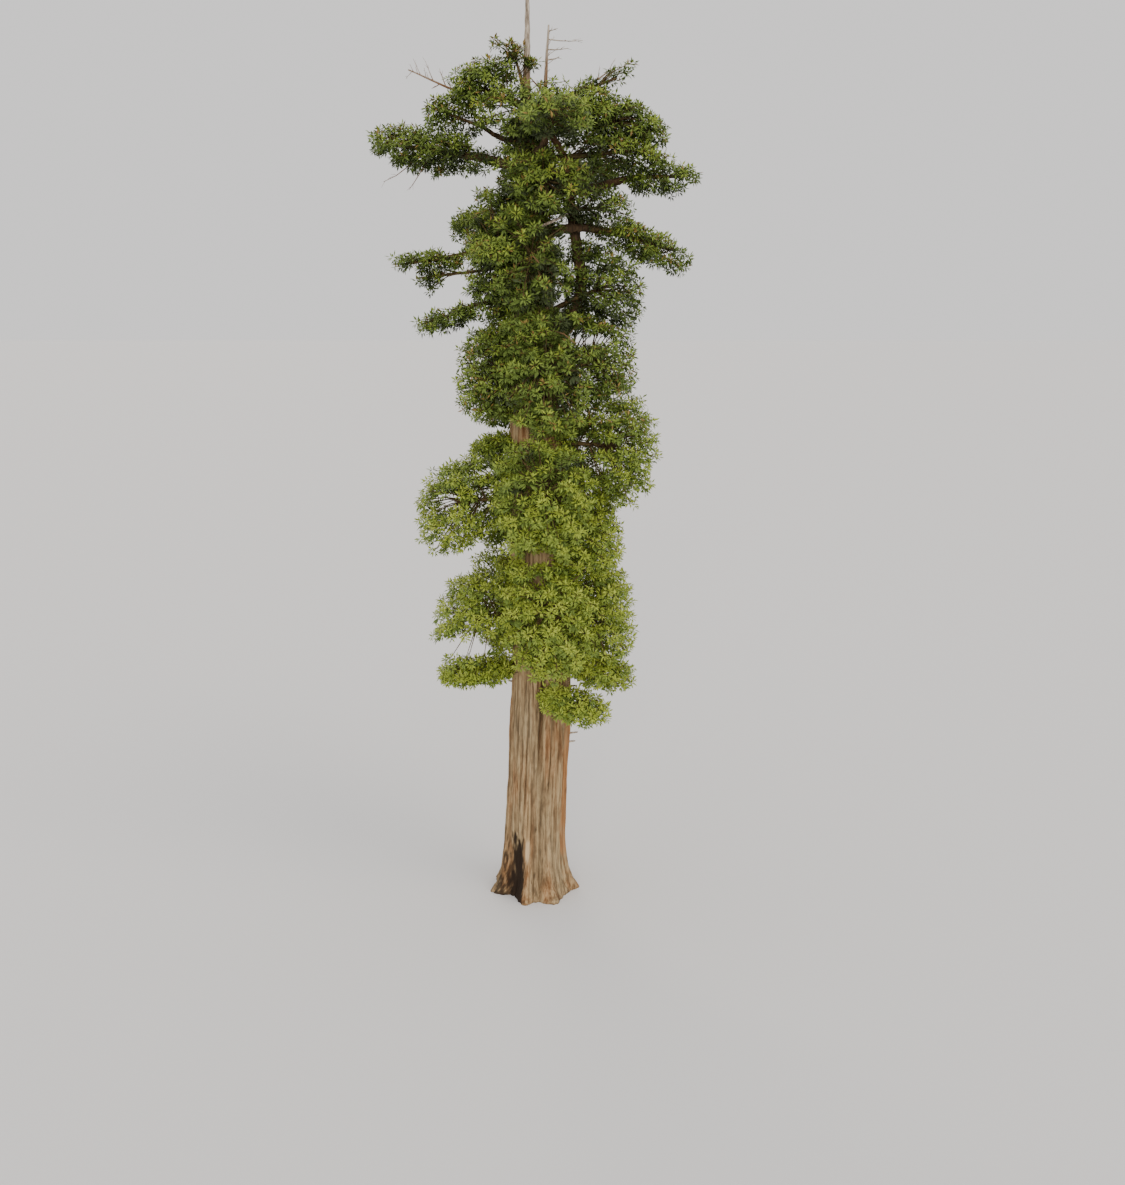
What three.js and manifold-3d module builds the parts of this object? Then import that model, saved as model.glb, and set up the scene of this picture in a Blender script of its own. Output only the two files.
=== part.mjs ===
// A very tall old coast redwood with twin dead tops, at two fifths of its real size, so it stands 40 m high.
// Millimetres, +Z up. The origin is the middle of the flat cut at ground level.
// +Y points away from the viewer.
// Places and sizes in the tables are metres: half is half the width, depth and height of a mass.
import * as THREE from "three";
import { mergeVertices } from "three/addons/utils/BufferGeometryUtils.js";
import Module from "manifold-3d";

const wasm = await Module();
wasm.setup();

const METRE = 1000;
const SEAT_GAP = 0.3; // between a limb and what carries it
const CORE_GAP = 90; // between a dense core and the trunk that runs past it
const LEAF_GAP = 15; // between a spray and a limb
const AIR_SIDES = 14; // of the free space round the trunk
const AIR_ROWS = 10;
const GOLDEN_ANGLE = Math.PI * (3 - Math.sqrt(5));
const TWIG_SHARES = [0.4, 0.7]; // where an open mass's side twigs leave its stem
const TWIG_REACH = 0.6; // how near to the edge of their space these twigs aim
const STEM_TAPER = 0.35; // a stem's end radius, as a share of its first
const STEM_BASE = 0.075 * METRE; // the radius of a very short stem on the trunk
const STEM_GROWTH = 0.02; // and what it gains with its length
const STEM_OVERSHOOT = 0.12; // how far past its mass's middle a stem from the trunk runs
const STEM_REACH = 1.72; // and one from a bough, as a share of the way to the middle
const CORE_ROUGH = [0.78, 1.18]; // a core's reach varies between these shares of its size
const CORE_SPREAD = 1.02; // the space that a core keeps clear, as a share of its size
const CORE_MARGIN = 0.07; // how much deeper a core's point lies in its own space than in any other
const CORE_STEPS = 12; // on the way out to where a core is blocked
const SPRAYS = 6; // on a mass that states no other number
const SPRAY_MARGIN = 0.04; // the same for a spray's points
const SPRAY_ROOT = 0.8; // how deep a spray starts in its core
const SPRAY_WIDTH = 0.9; // as a share of its length, on a core
const TUFT_WIDTH = 0.75; // and on the twigs of an open mass
const TUFT_WIDEST = 0.8 * METRE;
const SPRAY_TIPS = [0.96, 1.06]; // the tips stand at these shares of the mass's outline
const SPRAY_RIDGE = [0.6, 0.05]; // where a spray is thickest, and half its thickness there
const SPRAY_DROOP = 0.2 * METRE; // how far the tip of a level spray hangs
const SPRAY_PLACES = 34; // directions that a mass tries for its sprays, spread evenly
const SPRAY_STRIDE = 13; // and the step from each to the next one tried
const SPRAY_REACH = 1.12; // how far past its mass's outline the tip of a spray may stand
const ROUNDNESS = 2.4; // of a mass's space: 2 is an ellipsoid, and more is nearer to a box
const DROOP = 0.3; // how steeply a mass on the trunk falls away outwards

const TRUNK = {
  radius: 1.38 * METRE,
  vanishHeight: 37.5 * METRE, // where its taper would end in a point
  taperPower: 3,
  top: 35.5 * METRE,
  flare: 0.56 * METRE,
  flareHeight: 0.9 * METRE,
  buttresses: 7,
  buttressShare: 0.1,
  flutes: 11,
  fluteShare: 0.03,
  sides: 30,
  rows: 17,
  rowPower: 1.6, // above 1, the rows lie closer together near the flare
};
// The hollow that an old fire burnt into the foot, on the side towards the viewer's left.
const SCAR = {
  bearing: -Math.PI / 2 - 0.62,
  halfAngle: 0.36,
  height: 3.3 * METRE,
  depth: 0.42 * METRE,
};
// Where the trunk's middle stands at each height: [height, x, y].
const SWEEP = [
  [0, 0, 0],
  [12, 0.42, 0.08],
  [27, 0.1, -0.06],
  [34, -0.1, 0.04],
  [40, -0.03, 0],
];

// Limbs that run from one point over a second to a third, with the radius at each end.
// A null start is the trunk's middle at that height.
const LIMBS = {
  dead_spire: {
    path: [[-0.1, 0.04, 35.5], [-0.05, 0.02, 37.8], [-0.03, 0, 39.98]],
    radii: [0.17, 0.055],
    slot: "dead_wood",
  },
  second_stem: {
    path: [[0.2, 0.05, 25.4], [2.05, 0.15, 27.3], [1.7, 0.1, 31.3]],
    radii: [0.34, 0.2],
    slot: "bark",
  },
  second_top: {
    path: [[1.7, 0.1, 31.3], [1.5, 0.08, 32.9], [0.68, 0.05, 34.5], [0.7, 0, 36.2], [0.82, 0, 38.1]],
    radii: [0.2, 0.035],
    slot: "dead_wood",
    twigs: [
      { at: 0.93, to: [2.21, 0.15, 37.55] },
      { at: 0.97, to: [1.2, -0.1, 37.95] },
      { at: 0.88, to: [1.6, -0.35, 37.15] },
      { at: 0.83, to: [1.25, 0.3, 36.95] },
      { at: 0.66, to: [0.05, 0.3, 36.2] },
    ],
  },
  dead_left_branch: {
    path: [[-0.1, 0.1, 35.2], [-2.4, 0.3, 35.5], [-4.95, 0.35, 36.5]],
    radii: [0.09, 0.025],
    slot: "dead_wood",
    twigs: [
      { at: 0.97, to: [-5.02, 0.3, 36.2] },
      { at: 0.9, to: [-4.75, 0.5, 36.95] },
      { at: 0.8, to: [-4.2, 0.1, 36.75] },
      { at: 0.7, to: [-3.7, 0.6, 36.6] },
      { at: 0.75, to: [-4.0, 0.2, 35.75] },
    ],
  },
  dead_right_branch: {
    path: [[0.1, 0.1, 34.9], [1.9, 0.5, 35.6], [3.45, 0.6, 36.6]],
    radii: [0.08, 0.022],
    slot: "dead_wood",
    twigs: [
      { at: 0.92, to: [3.55, 0.4, 36.95] },
      { at: 0.8, to: [2.9, 0.9, 36.65] },
      { at: 0.7, to: [2.75, 0.25, 35.9] },
    ],
  },
  bare_limb: {
    path: [[0, 0, 30.1], [0.65, -1.15, 30.3], [1.6, -1.0, 30.75]],
    radii: [0.1, 0.04],
    slot: "dead_wood",
  },
  long_left_bough: {
    path: [[0, 0, 32.4], [-1.0, 0.02, 32.8], [-2.2, 0, 33.1]],
    radii: [0.24, 0.17],
    slot: "bark",
  },
  left_hand_bough: {
    path: [[-0.05, 0.05, 33.9], [-1.0, 0.2, 33.8], [-1.95, 0.25, 34.3]],
    radii: [0.14, 0.08],
    slot: "bark",
  },
  left_middle_bough: {
    path: [[0, 0, 29.7], [-1.4, 0.1, 29.65], [-2.9, 0.05, 29.2]],
    radii: [0.17, 0.1],
    slot: "bark",
  },
  left_low_bough: {
    path: [[0, 0, 26.9], [-1.2, -0.1, 27.25], [-2.45, -0.2, 27.15]],
    radii: [0.16, 0.09],
    slot: "bark",
  },
  right_long_bough: {
    path: [[0.1, 0, 31.7], [2.3, 0.75, 31.9], [4.3, 0.1, 32.3]],
    radii: [0.24, 0.13],
    slot: "bark",
  },
  right_middle_bough: {
    path: [[0.1, 0, 29.7], [1.2, -0.55, 30.15], [2.5, -0.2, 30.3]],
    radii: [0.24, 0.17],
    slot: "bark",
  },
  front_bough: {
    path: [[0, 0, 33.3], [0.5, -1.2, 33.2], [0.9, -2.5, 33.9]],
    radii: [0.2, 0.12],
    slot: "bark",
  },
  back_left_bough: {
    path: [[0, 0, 30.6], [-0.8, 1.5, 30.9], [-1.7, 3.1, 30.8]],
    radii: [0.22, 0.13],
    slot: "bark",
  },
  back_right_bough: {
    path: [[0, 0, 31.9], [0.9, 1.5, 32.4], [1.9, 2.9, 32.7]],
    radii: [0.22, 0.13],
    slot: "bark",
  },
};

// The masses of foliage. A mass starts at its bough's tip, or on the trunk at the height from.
// core is the share of the space that its dense middle fills, and an open mass has none.
// droop is how steeply it falls away outwards where that isn't the usual, and below 0 where it rises.
const MASSES = {
  lower_left: { middle: [-2.6, -0.5, 13.5], half: [1.85, 2, 2.4], from: 13.8, core: 0.8, droop: 0.45 },
  lower_front: { middle: [0.8, -2.3, 14.3], half: [2.1, 1.7, 2.9], from: 14.6, core: 0.8 },
  lower_right: { middle: [2.8, -0.3, 13.9], half: [1.85, 2.1, 2.85], from: 14.1, core: 0.8 },
  lower_back_left: { middle: [-1.2, 2.5, 13.8], half: [2.0, 1.8, 2.9], from: 13.9, core: 0.8 },
  lower_back_right: { middle: [2.1, 2.6, 14.1], half: [2.0, 1.8, 2.9], from: 14.3, core: 0.8 },
  low_left_lobe: { middle: [-2.6, -0.7, 11.1], half: [1.7, 1.3, 0.55], from: 11.3, core: 0.72, droop: 0.1 },
  low_right_lobe: { middle: [3.1, -0.8, 11.2], half: [1.5, 1.4, 0.75], from: 11.4, core: 0.72, droop: 0.2 },
  low_front_spray: { middle: [1.95, -1.95, 9.85], half: [1.6, 0.8, 0.65], from: 10.1, sprays: 6 },
  middle_left: { middle: [-3, -0.4, 18.8], half: [2.05, 2, 2.1], from: 18.9, core: 0.8 },
  middle_front: { middle: [0.6, -2.25, 19.3], half: [2.2, 1.8, 3.0], from: 19.5, core: 0.8 },
  middle_right: { middle: [3.5, -0.3, 21.2], half: [2, 2.1, 2.6], from: 21.4, core: 0.8, droop: 0.12 },
  middle_right_low: { middle: [2.45, -0.5, 17.4], half: [1.65, 1.9, 1.9], from: 17.5, core: 0.8 },
  middle_back_left: { middle: [-1.5, 2.4, 19.0], half: [2.0, 1.8, 2.9], from: 19.1, core: 0.8 },
  middle_back_right: { middle: [2.1, 2.5, 19.5], half: [2.0, 1.8, 3.0], from: 19.7, core: 0.8 },
  left_finger: { middle: [-1.75, -0.4, 21.35], half: [1.0, 0.6, 0.4], from: 21.5, sprays: 5 },
  upper_left: { middle: [-1.5, -0.3, 24.5], half: [1.7, 1.8, 2.2], from: 24.7, core: 0.8 },
  upper_front: { middle: [0.75, -1.95, 24.6], half: [1.95, 1.6, 3.0], from: 24.9, core: 0.8 },
  upper_right: { middle: [2.85, -0.2, 25], half: [1.7, 1.9, 2.3], from: 23.7, core: 0.8 },
  upper_back_left: { middle: [-0.9, 2.1, 24.2], half: [1.8, 1.6, 2.7], from: 24.6, core: 0.82 },
  upper_back_right: { middle: [1.9, 2.2, 24.9], half: [1.8, 1.6, 2.6], from: 24.2, core: 0.82 },
  high_left: { middle: [-1.4, -0.2, 29.2], half: [1.4, 1.6, 2.9], from: 28.6, core: 0.8 },
  high_front: { middle: [0.1, -1.65, 29.1], half: [1.65, 1.3, 2.7], from: 29.1, core: 0.8 },
  high_right: { middle: [3.1, -0.2, 28], half: [1.7, 1.6, 1.9], from: 26.5, core: 0.76 },
  high_back: { middle: [-0.2, 1.9, 28.9], half: [1.5, 1.5, 2.4], from: 29.2, core: 0.8 },
  front_left_arm: { middle: [-1.4, -2.2, 29.3], half: [1.2, 0.65, 0.45], from: 29.6, sprays: 5 },
  shoulder_front: { middle: [0.65, -1.45, 32.0], half: [2.0, 1.2, 1.6], from: 32.1, core: 0.78 },
  shoulder_back: { middle: [0.4, 1.75, 33.2], half: [2.0, 1.4, 1.7], from: 33.0, core: 0.74 },
  top_centre: { middle: [0.1, -0.75, 34.85], half: [2.5, 1.3, 1.15], from: 34.4, core: 0.76 },
  top_left: { middle: [-2.1, 0.1, 35.9], half: [1.5, 1.2, 0.9], from: 34.9, core: 0.66 },
  top_right: { middle: [3.5, -0.2, 34.55], half: [2.2, 1.4, 0.95], from: 33.8, core: 0.7 },
  top_right_tuft: {
    middle: [3.2, 0.15, 36.15],
    half: [1.1, 0.4, 0.42],
    from: 34.6,
    sprays: 5,
    droop: -0.35,
  },
  crossing_tuft: { middle: [-0.55, -0.3, 37.05], half: [1.1, 0.3, 0.4], from: 35.1, sprays: 5, droop: -0.4 },
  left_hand: { middle: [-3.15, 0.25, 34.7], half: [1.35, 0.8, 0.85], bough: "left_hand_bough", core: 0.42 },
  long_left: {
    middle: [-4.1, 0, 33.35],
    half: [2.7, 1.2, 0.85],
    bough: "long_left_bough",
    sprays: 11,
    core: 0.5,
    droop: -0.15,
  },
  left_arm: { middle: [-4.25, 0, 29], half: [1.6, 0.6, 0.38], bough: "left_middle_bough", sprays: 6 },
  left_hanging_tuft: { middle: [-4.3, 0, 28.25], half: [0.55, 0.4, 0.62], from: 28.9, sprays: 5 },
  left_low_arm: {
    middle: [-3.5, -0.2, 26.65],
    half: [1.4, 0.7, 0.45],
    bough: "left_low_bough",
    sprays: 6,
    droop: 0.25,
  },
  right_upper: { middle: [4, -0.3, 33.3], half: [2, 1.3, 0.75], from: 32.9, core: 0.62 },
  right_long: {
    middle: [5.5, 0.05, 32.3],
    half: [1.55, 0.9, 0.65],
    bough: "right_long_bough",
    sprays: 6,
    core: 0.46,
  },
  right_inner: { middle: [3, -0.3, 31.1], half: [1.5, 1.2, 0.95], from: 30.8, core: 0.6 },
  right_arm: {
    middle: [4.6, -0.1, 29.75],
    half: [2.3, 1, 0.8],
    bough: "right_middle_bough",
    core: 0.5,
    droop: 0.42,
  },
  front_arm: { middle: [1.1, -3.7, 34.1], half: [1.4, 1.6, 0.75], bough: "front_bough", core: 0.46 },
  back_left_arm: { middle: [-2.3, 4.4, 30.8], half: [1.5, 1.75, 0.8], bough: "back_left_bough", core: 0.46 },
  back_right_arm: {
    middle: [2.7, 4.2, 33.0],
    half: [1.5, 1.75, 0.8],
    bough: "back_right_bough",
    core: 0.46,
  },
};

// Half the outline of a spray's blade: [share of its length, share of its width].
const BLADE = [
  [0.62, 0.5],
  [0.76, 0.22],
];

// Dead stubs on the trunk: [height, bearing, length].
const STUB_ROOT = 0.2 * METRE; // how deep they start in the trunk
const STUB_RADII = [0.06 * METRE, 0.03 * METRE];
const STUBS = [
  [7.55, 0, 0.42],
  [7.1, 0.05, 0.34],
  [10.05, Math.PI - 0.1, 0.22],
  [9.95, -0.2, 0.3],
];

const FINISHES = {
  bark: { color: 0x9a7e5b, roughness: 0.95, metalness: 0 },
  dead_wood: { color: 0xa59c90, roughness: 0.9, metalness: 0 },
  foliage: { color: 0x6f7c2e, roughness: 0.8, metalness: 0 },
};

const vector = ([x, y, z]) => new THREE.Vector3(x, y, z).multiplyScalar(METRE);

// A number from 0 to 1 that looks random and is the same each time for the same key.
function scatter(key) {
  const wide = Math.sin(key * 12.9898 + 4.1414) * 43758.5453;
  return wide - Math.floor(wide);
}

// The trunk's middle at a height, eased from one row of the sweep to the next.
function trunkMiddle(z) {
  const below = SWEEP.slice(0, -1).findLastIndex(([height]) => height * METRE <= z);
  const [low, high] = SWEEP.slice(Math.max(0, below));
  const ease = THREE.MathUtils.smoothstep(z, low[0] * METRE, high[0] * METRE);
  return new THREE.Vector3(
    THREE.MathUtils.lerp(low[1], high[1], ease) * METRE,
    THREE.MathUtils.lerp(low[2], high[2], ease) * METRE,
    z,
  );
}

// The trunk's radius at a height and bearing, with its flare, buttresses, flutes and fire scar.
function trunkRadius(z, bearing) {
  const taper = TRUNK.radius * (1 - (z / TRUNK.vanishHeight) ** TRUNK.taperPower);
  const flare = TRUNK.flare * Math.exp(-z / TRUNK.flareHeight);
  const low = Math.exp(-z / (3 * TRUNK.flareHeight));
  const buttress = TRUNK.buttressShare * low * Math.cos(TRUNK.buttresses * bearing + 0.7);
  const flute = TRUNK.fluteShare * Math.cos(TRUNK.flutes * bearing + z / (6 * METRE));
  const off = Math.atan2(Math.sin(bearing - SCAR.bearing), Math.cos(bearing - SCAR.bearing));
  const across = Math.exp(-((off / SCAR.halfAngle) ** 2));
  const up = Math.max(0, 1 - z / SCAR.height) ** 0.7;
  return (taper + flare) * (1 + buttress + flute) - SCAR.depth * across * up;
}

// A closed form from a cylinder whose points are placed by their share of its length, bearing and reach.
function warped(sides, rows, place) {
  const form = new THREE.CylinderGeometry(1, 1, 1, sides, rows).rotateX(Math.PI / 2);
  const points = form.getAttribute("position");
  const point = new THREE.Vector3();
  for (let i = 0; i < points.count; i += 1) {
    point.fromBufferAttribute(points, i);
    const placed = place(point.z + 0.5, Math.atan2(point.y, point.x), Math.hypot(point.x, point.y));
    points.setXYZ(i, placed.x, placed.y, placed.z);
  }
  return form;
}

// The trunk, or with extra the space kept free around it.
function trunkForm(extra = 0, sides = TRUNK.sides, rows = TRUNK.rows) {
  return warped(sides, rows, (share, bearing, reach) => {
    const z = share ** TRUNK.rowPower * TRUNK.top;
    const flats = Math.cos(Math.PI / TRUNK.sides) / Math.cos(Math.PI / sides);
    const radius = reach * flats * (trunkRadius(z, bearing) + extra);
    const rise = share === 1 ? extra : 0;
    const out = new THREE.Vector3(Math.cos(bearing) * radius, Math.sin(bearing) * radius, rise);
    return trunkMiddle(z).add(out);
  });
}

// A limb along a curve, tapering from one radius to the other.
function limbForm(curve, [first, last], { sides = 6, steps = 4, extra = 0 } = {}) {
  const chord = curve.getPoint(1).sub(curve.getPoint(0)).normalize();
  const guide = Math.abs(chord.z) > 0.7 ? new THREE.Vector3(0, 1, 0) : new THREE.Vector3(0, 0, 1);
  return warped(sides, steps, (share, bearing, reach) => {
    const along = curve.getTangent(share);
    const side = new THREE.Vector3().crossVectors(guide, along).normalize();
    const up = new THREE.Vector3().crossVectors(along, side);
    const radius = reach * (THREE.MathUtils.lerp(first, last, share) + extra);
    const past = extra * ((share === 1) - (share === 0));
    return curve
      .getPoint(share)
      .addScaledVector(along, past)
      .addScaledVector(side, Math.cos(bearing) * radius)
      .addScaledVector(up, Math.sin(bearing) * radius);
  });
}

function curveThrough(points) {
  return new THREE.CatmullRomCurve3(points, false, "centripetal");
}

// A toothed blade that stands for a spray of needles: an outline round a ridge, thickest in its middle.
function sprayForm(foot, tip, width, roll) {
  const along = new THREE.Vector3().subVectors(tip, foot);
  const length = along.length();
  along.normalize();
  const across = new THREE.Vector3(-along.y, along.x, 0);
  if (across.lengthSq() < 0.01) across.set(1, 0, 0);
  across.normalize().applyAxisAngle(along, roll);
  const normal = new THREE.Vector3().crossVectors(along, across);
  const at = (share, side, lift) =>
    foot
      .clone()
      .addScaledVector(along, share * length)
      .addScaledVector(across, side * width)
      .addScaledVector(normal, lift * length);
  const mirrored = BLADE.map(([share, side]) => at(share, -side, 0)).reverse();
  const rim = [foot, ...BLADE.map(([share, side]) => at(share, side, 0)), tip, ...mirrored];
  const [widest, thick] = SPRAY_RIDGE;
  const [above, below] = [at(widest, 0, thick), at(widest, 0, -thick)];
  const faces = rim.flatMap((point, i) => {
    const next = rim[(i + 1) % rim.length];
    return [above, next, point, below, point, next];
  });
  return new THREE.BufferGeometry().setFromPoints(faces);
}

function solidOf(form) {
  const bare = form.clone();
  bare.deleteAttribute("normal");
  bare.deleteAttribute("uv");
  const merged = mergeVertices(bare, 1e-3);
  return new wasm.Manifold(
    new wasm.Mesh({
      numProp: 3,
      vertProperties: merged.getAttribute("position").array,
      triVerts: new Uint32Array(merged.index.array),
    }),
  );
}

// The largest piece of a solid, without the scraps that a cut left loose.
function wholePiece(solid) {
  return solid
    .decompose()
    .sort((a, b) => b.volume() - a.volume())[0]
    .asOriginal();
}

function boxesMeet(a, b) {
  const [first, second] = [a.boundingBox(), b.boundingBox()];
  return [0, 1, 2].every((i) => first.min[i] < second.max[i] && second.min[i] < first.max[i]);
}

function cutBy(solid, others) {
  const near = others.filter((other) => boxesMeet(solid, other));
  return near.reduce((left, other) => left.subtract(other), solid).asOriginal();
}

function meshOf(name, solid, slot) {
  const { vertProperties, triVerts } = wholePiece(solid).getMesh();
  const form = new THREE.BufferGeometry()
    .setAttribute("position", new THREE.BufferAttribute(vertProperties, 3))
    .setIndex(new THREE.BufferAttribute(triVerts, 1));
  form.computeVertexNormals();
  const mesh = new THREE.Mesh(form, new THREE.MeshStandardMaterial(FINISHES[slot]));
  mesh.name = name;
  return mesh;
}

// A mass's own space: a rounded box, shared out between masses by how deep a point lies in each.
// The outer side of a mass on the trunk hangs lower than its inner side.
class Space {
  constructor({ middle, half, bough, droop = bough ? 0 : DROOP }) {
    this.middle = vector(middle);
    this.half = vector(half);
    this.slope = vector([middle[0], middle[1], 0]).setLength(droop);
  }

  depth(point) {
    const away = point.clone().sub(this.middle);
    away.z += away.dot(this.slope);
    return roundedLength(away.divide(this.half));
  }

  edge(direction, share) {
    const out = direction.clone().multiply(this.half);
    out.multiplyScalar(share / roundedLength(direction));
    out.z -= out.dot(this.slope);
    return out.add(this.middle);
  }
}

function roundedLength(away) {
  return away.toArray().reduce((sum, x) => sum + Math.abs(x) ** ROUNDNESS, 0) ** (1 / ROUNDNESS);
}

const spaces = Object.fromEntries(Object.entries(MASSES).map(([name, mass]) => [name, new Space(mass)]));

// Whether a point lies in a mass's own share of the crown, by more than the margin.
function owns(name, point, margin) {
  const depth = spaces[name].depth(point);
  const rivals = Object.keys(spaces).filter((other) => other !== name);
  return depth < SPRAY_REACH && rivals.every((other) => spaces[other].depth(point) > depth + margin);
}

function clearOfTrunk(point) {
  const away = point.clone().sub(trunkMiddle(point.z));
  return point.z > TRUNK.top || away.length() > trunkRadius(point.z, Math.atan2(away.y, away.x)) + CORE_GAP;
}

// How far a dense core may reach in one direction and stay in its own space, clear of the trunk.
function coreReach(name, direction, share) {
  const space = spaces[name];
  const free = (reach) => {
    const point = space.edge(direction, reach);
    return owns(name, point, CORE_MARGIN) && clearOfTrunk(point);
  };
  const shares = Array.from({ length: CORE_STEPS }, (_, i) => (share * (i + 1)) / CORE_STEPS);
  const blocked = shares.findIndex((reach) => !free(reach));
  return blocked < 0 ? share : shares[Math.max(0, blocked - 1)];
}

function touches(solid, others) {
  return others.some((other) => boxesMeet(solid, other) && !solid.intersect(other).isEmpty());
}

// The dead twigs on a limb, each from a point along it to its own tip.
function twigSolid(curve, radii, { at, to }, extra) {
  const foot = curve.getPoint(at);
  const tip = vector(to);
  const sag = new THREE.Vector3(0, 0, -0.06 * foot.distanceTo(tip));
  const radius = 0.6 * THREE.MathUtils.lerp(radii[0], radii[1], at);
  const twig = curveThrough([foot, foot.clone().lerp(tip, 0.5).add(sag), tip]);
  return solidOf(limbForm(twig, [radius, 0.4 * radius], { sides: 3, steps: 1, extra }));
}

// A limb with its dead twigs, or with extra the space that others keep clear of.
function limbSolid({ path, radii, twigs = [] }, extra = 0) {
  const curve = curveThrough(path.map(vector));
  const ends = radii.map((radius) => radius * METRE);
  const limb = solidOf(limbForm(curve, ends, { extra }));
  return twigs.reduce((whole, twig) => whole.add(twigSolid(curve, ends, twig, extra)), limb).asOriginal();
}

// Small dead stubs that stand out of the trunk's bark.
function stubSolid([height, bearing, length]) {
  const z = height * METRE;
  const out = new THREE.Vector3(Math.cos(bearing), Math.sin(bearing), 0.15);
  const reach = trunkRadius(z, bearing);
  const foot = trunkMiddle(z).addScaledVector(out, reach - STUB_ROOT);
  const tip = trunkMiddle(z).addScaledVector(out, reach + length * METRE);
  return solidOf(limbForm(new THREE.LineCurve3(foot, tip), STUB_RADII, { sides: 5, steps: 1 }));
}

// The stem of a mass: from its bough's tip, or from the trunk, to the far part of its space.
function stemCurve({ from, bough }, space) {
  if (bough) {
    const limb = curveThrough(LIMBS[bough].path.map(vector));
    const along = limb.getTangent(1);
    const start = limb.getPoint(0.97);
    const far = start.clone().lerp(space.middle, STEM_REACH);
    const bend = start.clone().addScaledVector(along, 0.5 * start.distanceTo(space.middle));
    return new THREE.QuadraticBezierCurve3(start, bend.lerp(space.middle, 0.5), far);
  }
  const start = trunkMiddle(from * METRE);
  const outward = space.middle.clone().sub(start).setZ(0);
  const far = space.middle.clone().addScaledVector(outward, STEM_OVERSHOOT);
  const bend = start.clone().lerp(far, 0.5).setZ(0.35 * start.z + 0.65 * far.z);
  return new THREE.QuadraticBezierCurve3(start, bend, far);
}

function stemRadius({ bough }, curve) {
  if (bough) return LIMBS[bough].radii[1] * METRE;
  return STEM_BASE + STEM_GROWTH * curve.getPoint(0).distanceTo(curve.getPoint(1));
}

// The side twigs of an open mass, each from its stem to a point well inside its space.
function sideTwigs(space, curve, index) {
  return TWIG_SHARES.map((share, i) => {
    const turn = (index + i) * GOLDEN_ANGLE + Math.PI * i;
    const away = new THREE.Vector3(Math.cos(turn), Math.sin(turn), 0.5 * Math.sin(3 * turn)).normalize();
    const knot = curve.getPoint(share);
    const far = space.edge(away, TWIG_REACH).lerp(curve.getPoint(Math.min(1, share + 0.25)), 0.35);
    return new THREE.LineCurve3(knot, far);
  });
}

function nearestPoint(curves, point) {
  const shares = Array.from({ length: 15 }, (_, i) => 0.2 + (0.75 * i) / 14);
  const spots = curves.flatMap((curve) => shares.map((share) => curve.getPoint(share)));
  return spots.reduce((best, spot) => (spot.distanceTo(point) < best.distanceTo(point) ? spot : best));
}

// A rough ball that fills the dense middle of a space.
function coreSolid(name, share, index) {
  const form = new THREE.IcosahedronGeometry(1, 1);
  const points = form.getAttribute("position");
  const point = new THREE.Vector3();
  for (let i = 0; i < points.count; i += 1) {
    point.fromBufferAttribute(points, i).normalize();
    const rough = Math.round(point.dot(new THREE.Vector3(91, 57, 33)) * 8);
    const size = share * THREE.MathUtils.lerp(...CORE_ROUGH, scatter(rough + 31 * index));
    points.setXYZ(i, ...spaces[name].edge(point, coreReach(name, point, size)).toArray());
  }
  return solidOf(form);
}

// The direction of a mass's spray: the first leads on from its stem, and the rest are spread evenly.
function sprayDirection({ space, wood, index }, i) {
  if (i === 0) return wood[0].getPoint(1).sub(space.middle).divide(space.half).normalize();
  const step = (i * SPRAY_STRIDE) % SPRAY_PLACES;
  const height = 1 - (2 * (step + 0.5)) / SPRAY_PLACES;
  const turn = step * GOLDEN_ANGLE + index;
  const ring = Math.sqrt(1 - height * height);
  return new THREE.Vector3(Math.cos(turn) * ring, Math.sin(turn) * ring, height);
}

// One spray of a mass, rooted in its core or on its wood, out to the edge of its space.
function spraySolid(one, i) {
  const { name, mass, space, wood, index } = one;
  const out = sprayDirection(one, i);
  const tip = space.edge(out, THREE.MathUtils.lerp(...SPRAY_TIPS, scatter(index * 101 + i)));
  const roll = Math.PI * scatter(index * 57 + i * 3);
  if (mass.core) {
    tip.z -= SPRAY_DROOP * Math.hypot(out.x, out.y);
    const foot = space.edge(out, SPRAY_ROOT * coreReach(name, out, mass.core));
    return solidOf(sprayForm(foot, tip, SPRAY_WIDTH * foot.distanceTo(tip), roll));
  }
  const foot = nearestPoint(wood, tip);
  const width = Math.min(TUFT_WIDTH * foot.distanceTo(tip), TUFT_WIDEST);
  return solidOf(sprayForm(foot, tip, width, roll));
}

function cornersOf(solid) {
  const { numVert, vertProperties } = solid.getMesh();
  return Array.from({ length: numVert }, (_, i) => new THREE.Vector3().fromArray(vertProperties, 3 * i));
}

function twigOf(curve, radius, extra) {
  return solidOf(limbForm(curve, [0.4 * radius, 0.2 * radius], { sides: 3, steps: 1, extra }));
}

// A mass's stem with its side twigs, or with extra the space that others keep clear of.
function woodSolid([curve, ...twigs], radius, extra) {
  const stem = solidOf(limbForm(curve, [radius, STEM_TAPER * radius], { sides: 4, steps: 3, extra }));
  return twigs.reduce((whole, twig) => whole.add(twigOf(twig, radius, extra)), stem).asOriginal();
}

const root = new THREE.Group();
const trunk = STUBS.map(stubSolid).reduce((solid, stub) => solid.add(stub), solidOf(trunkForm()));
root.add(meshOf("trunk", trunk, "bark"));

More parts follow.
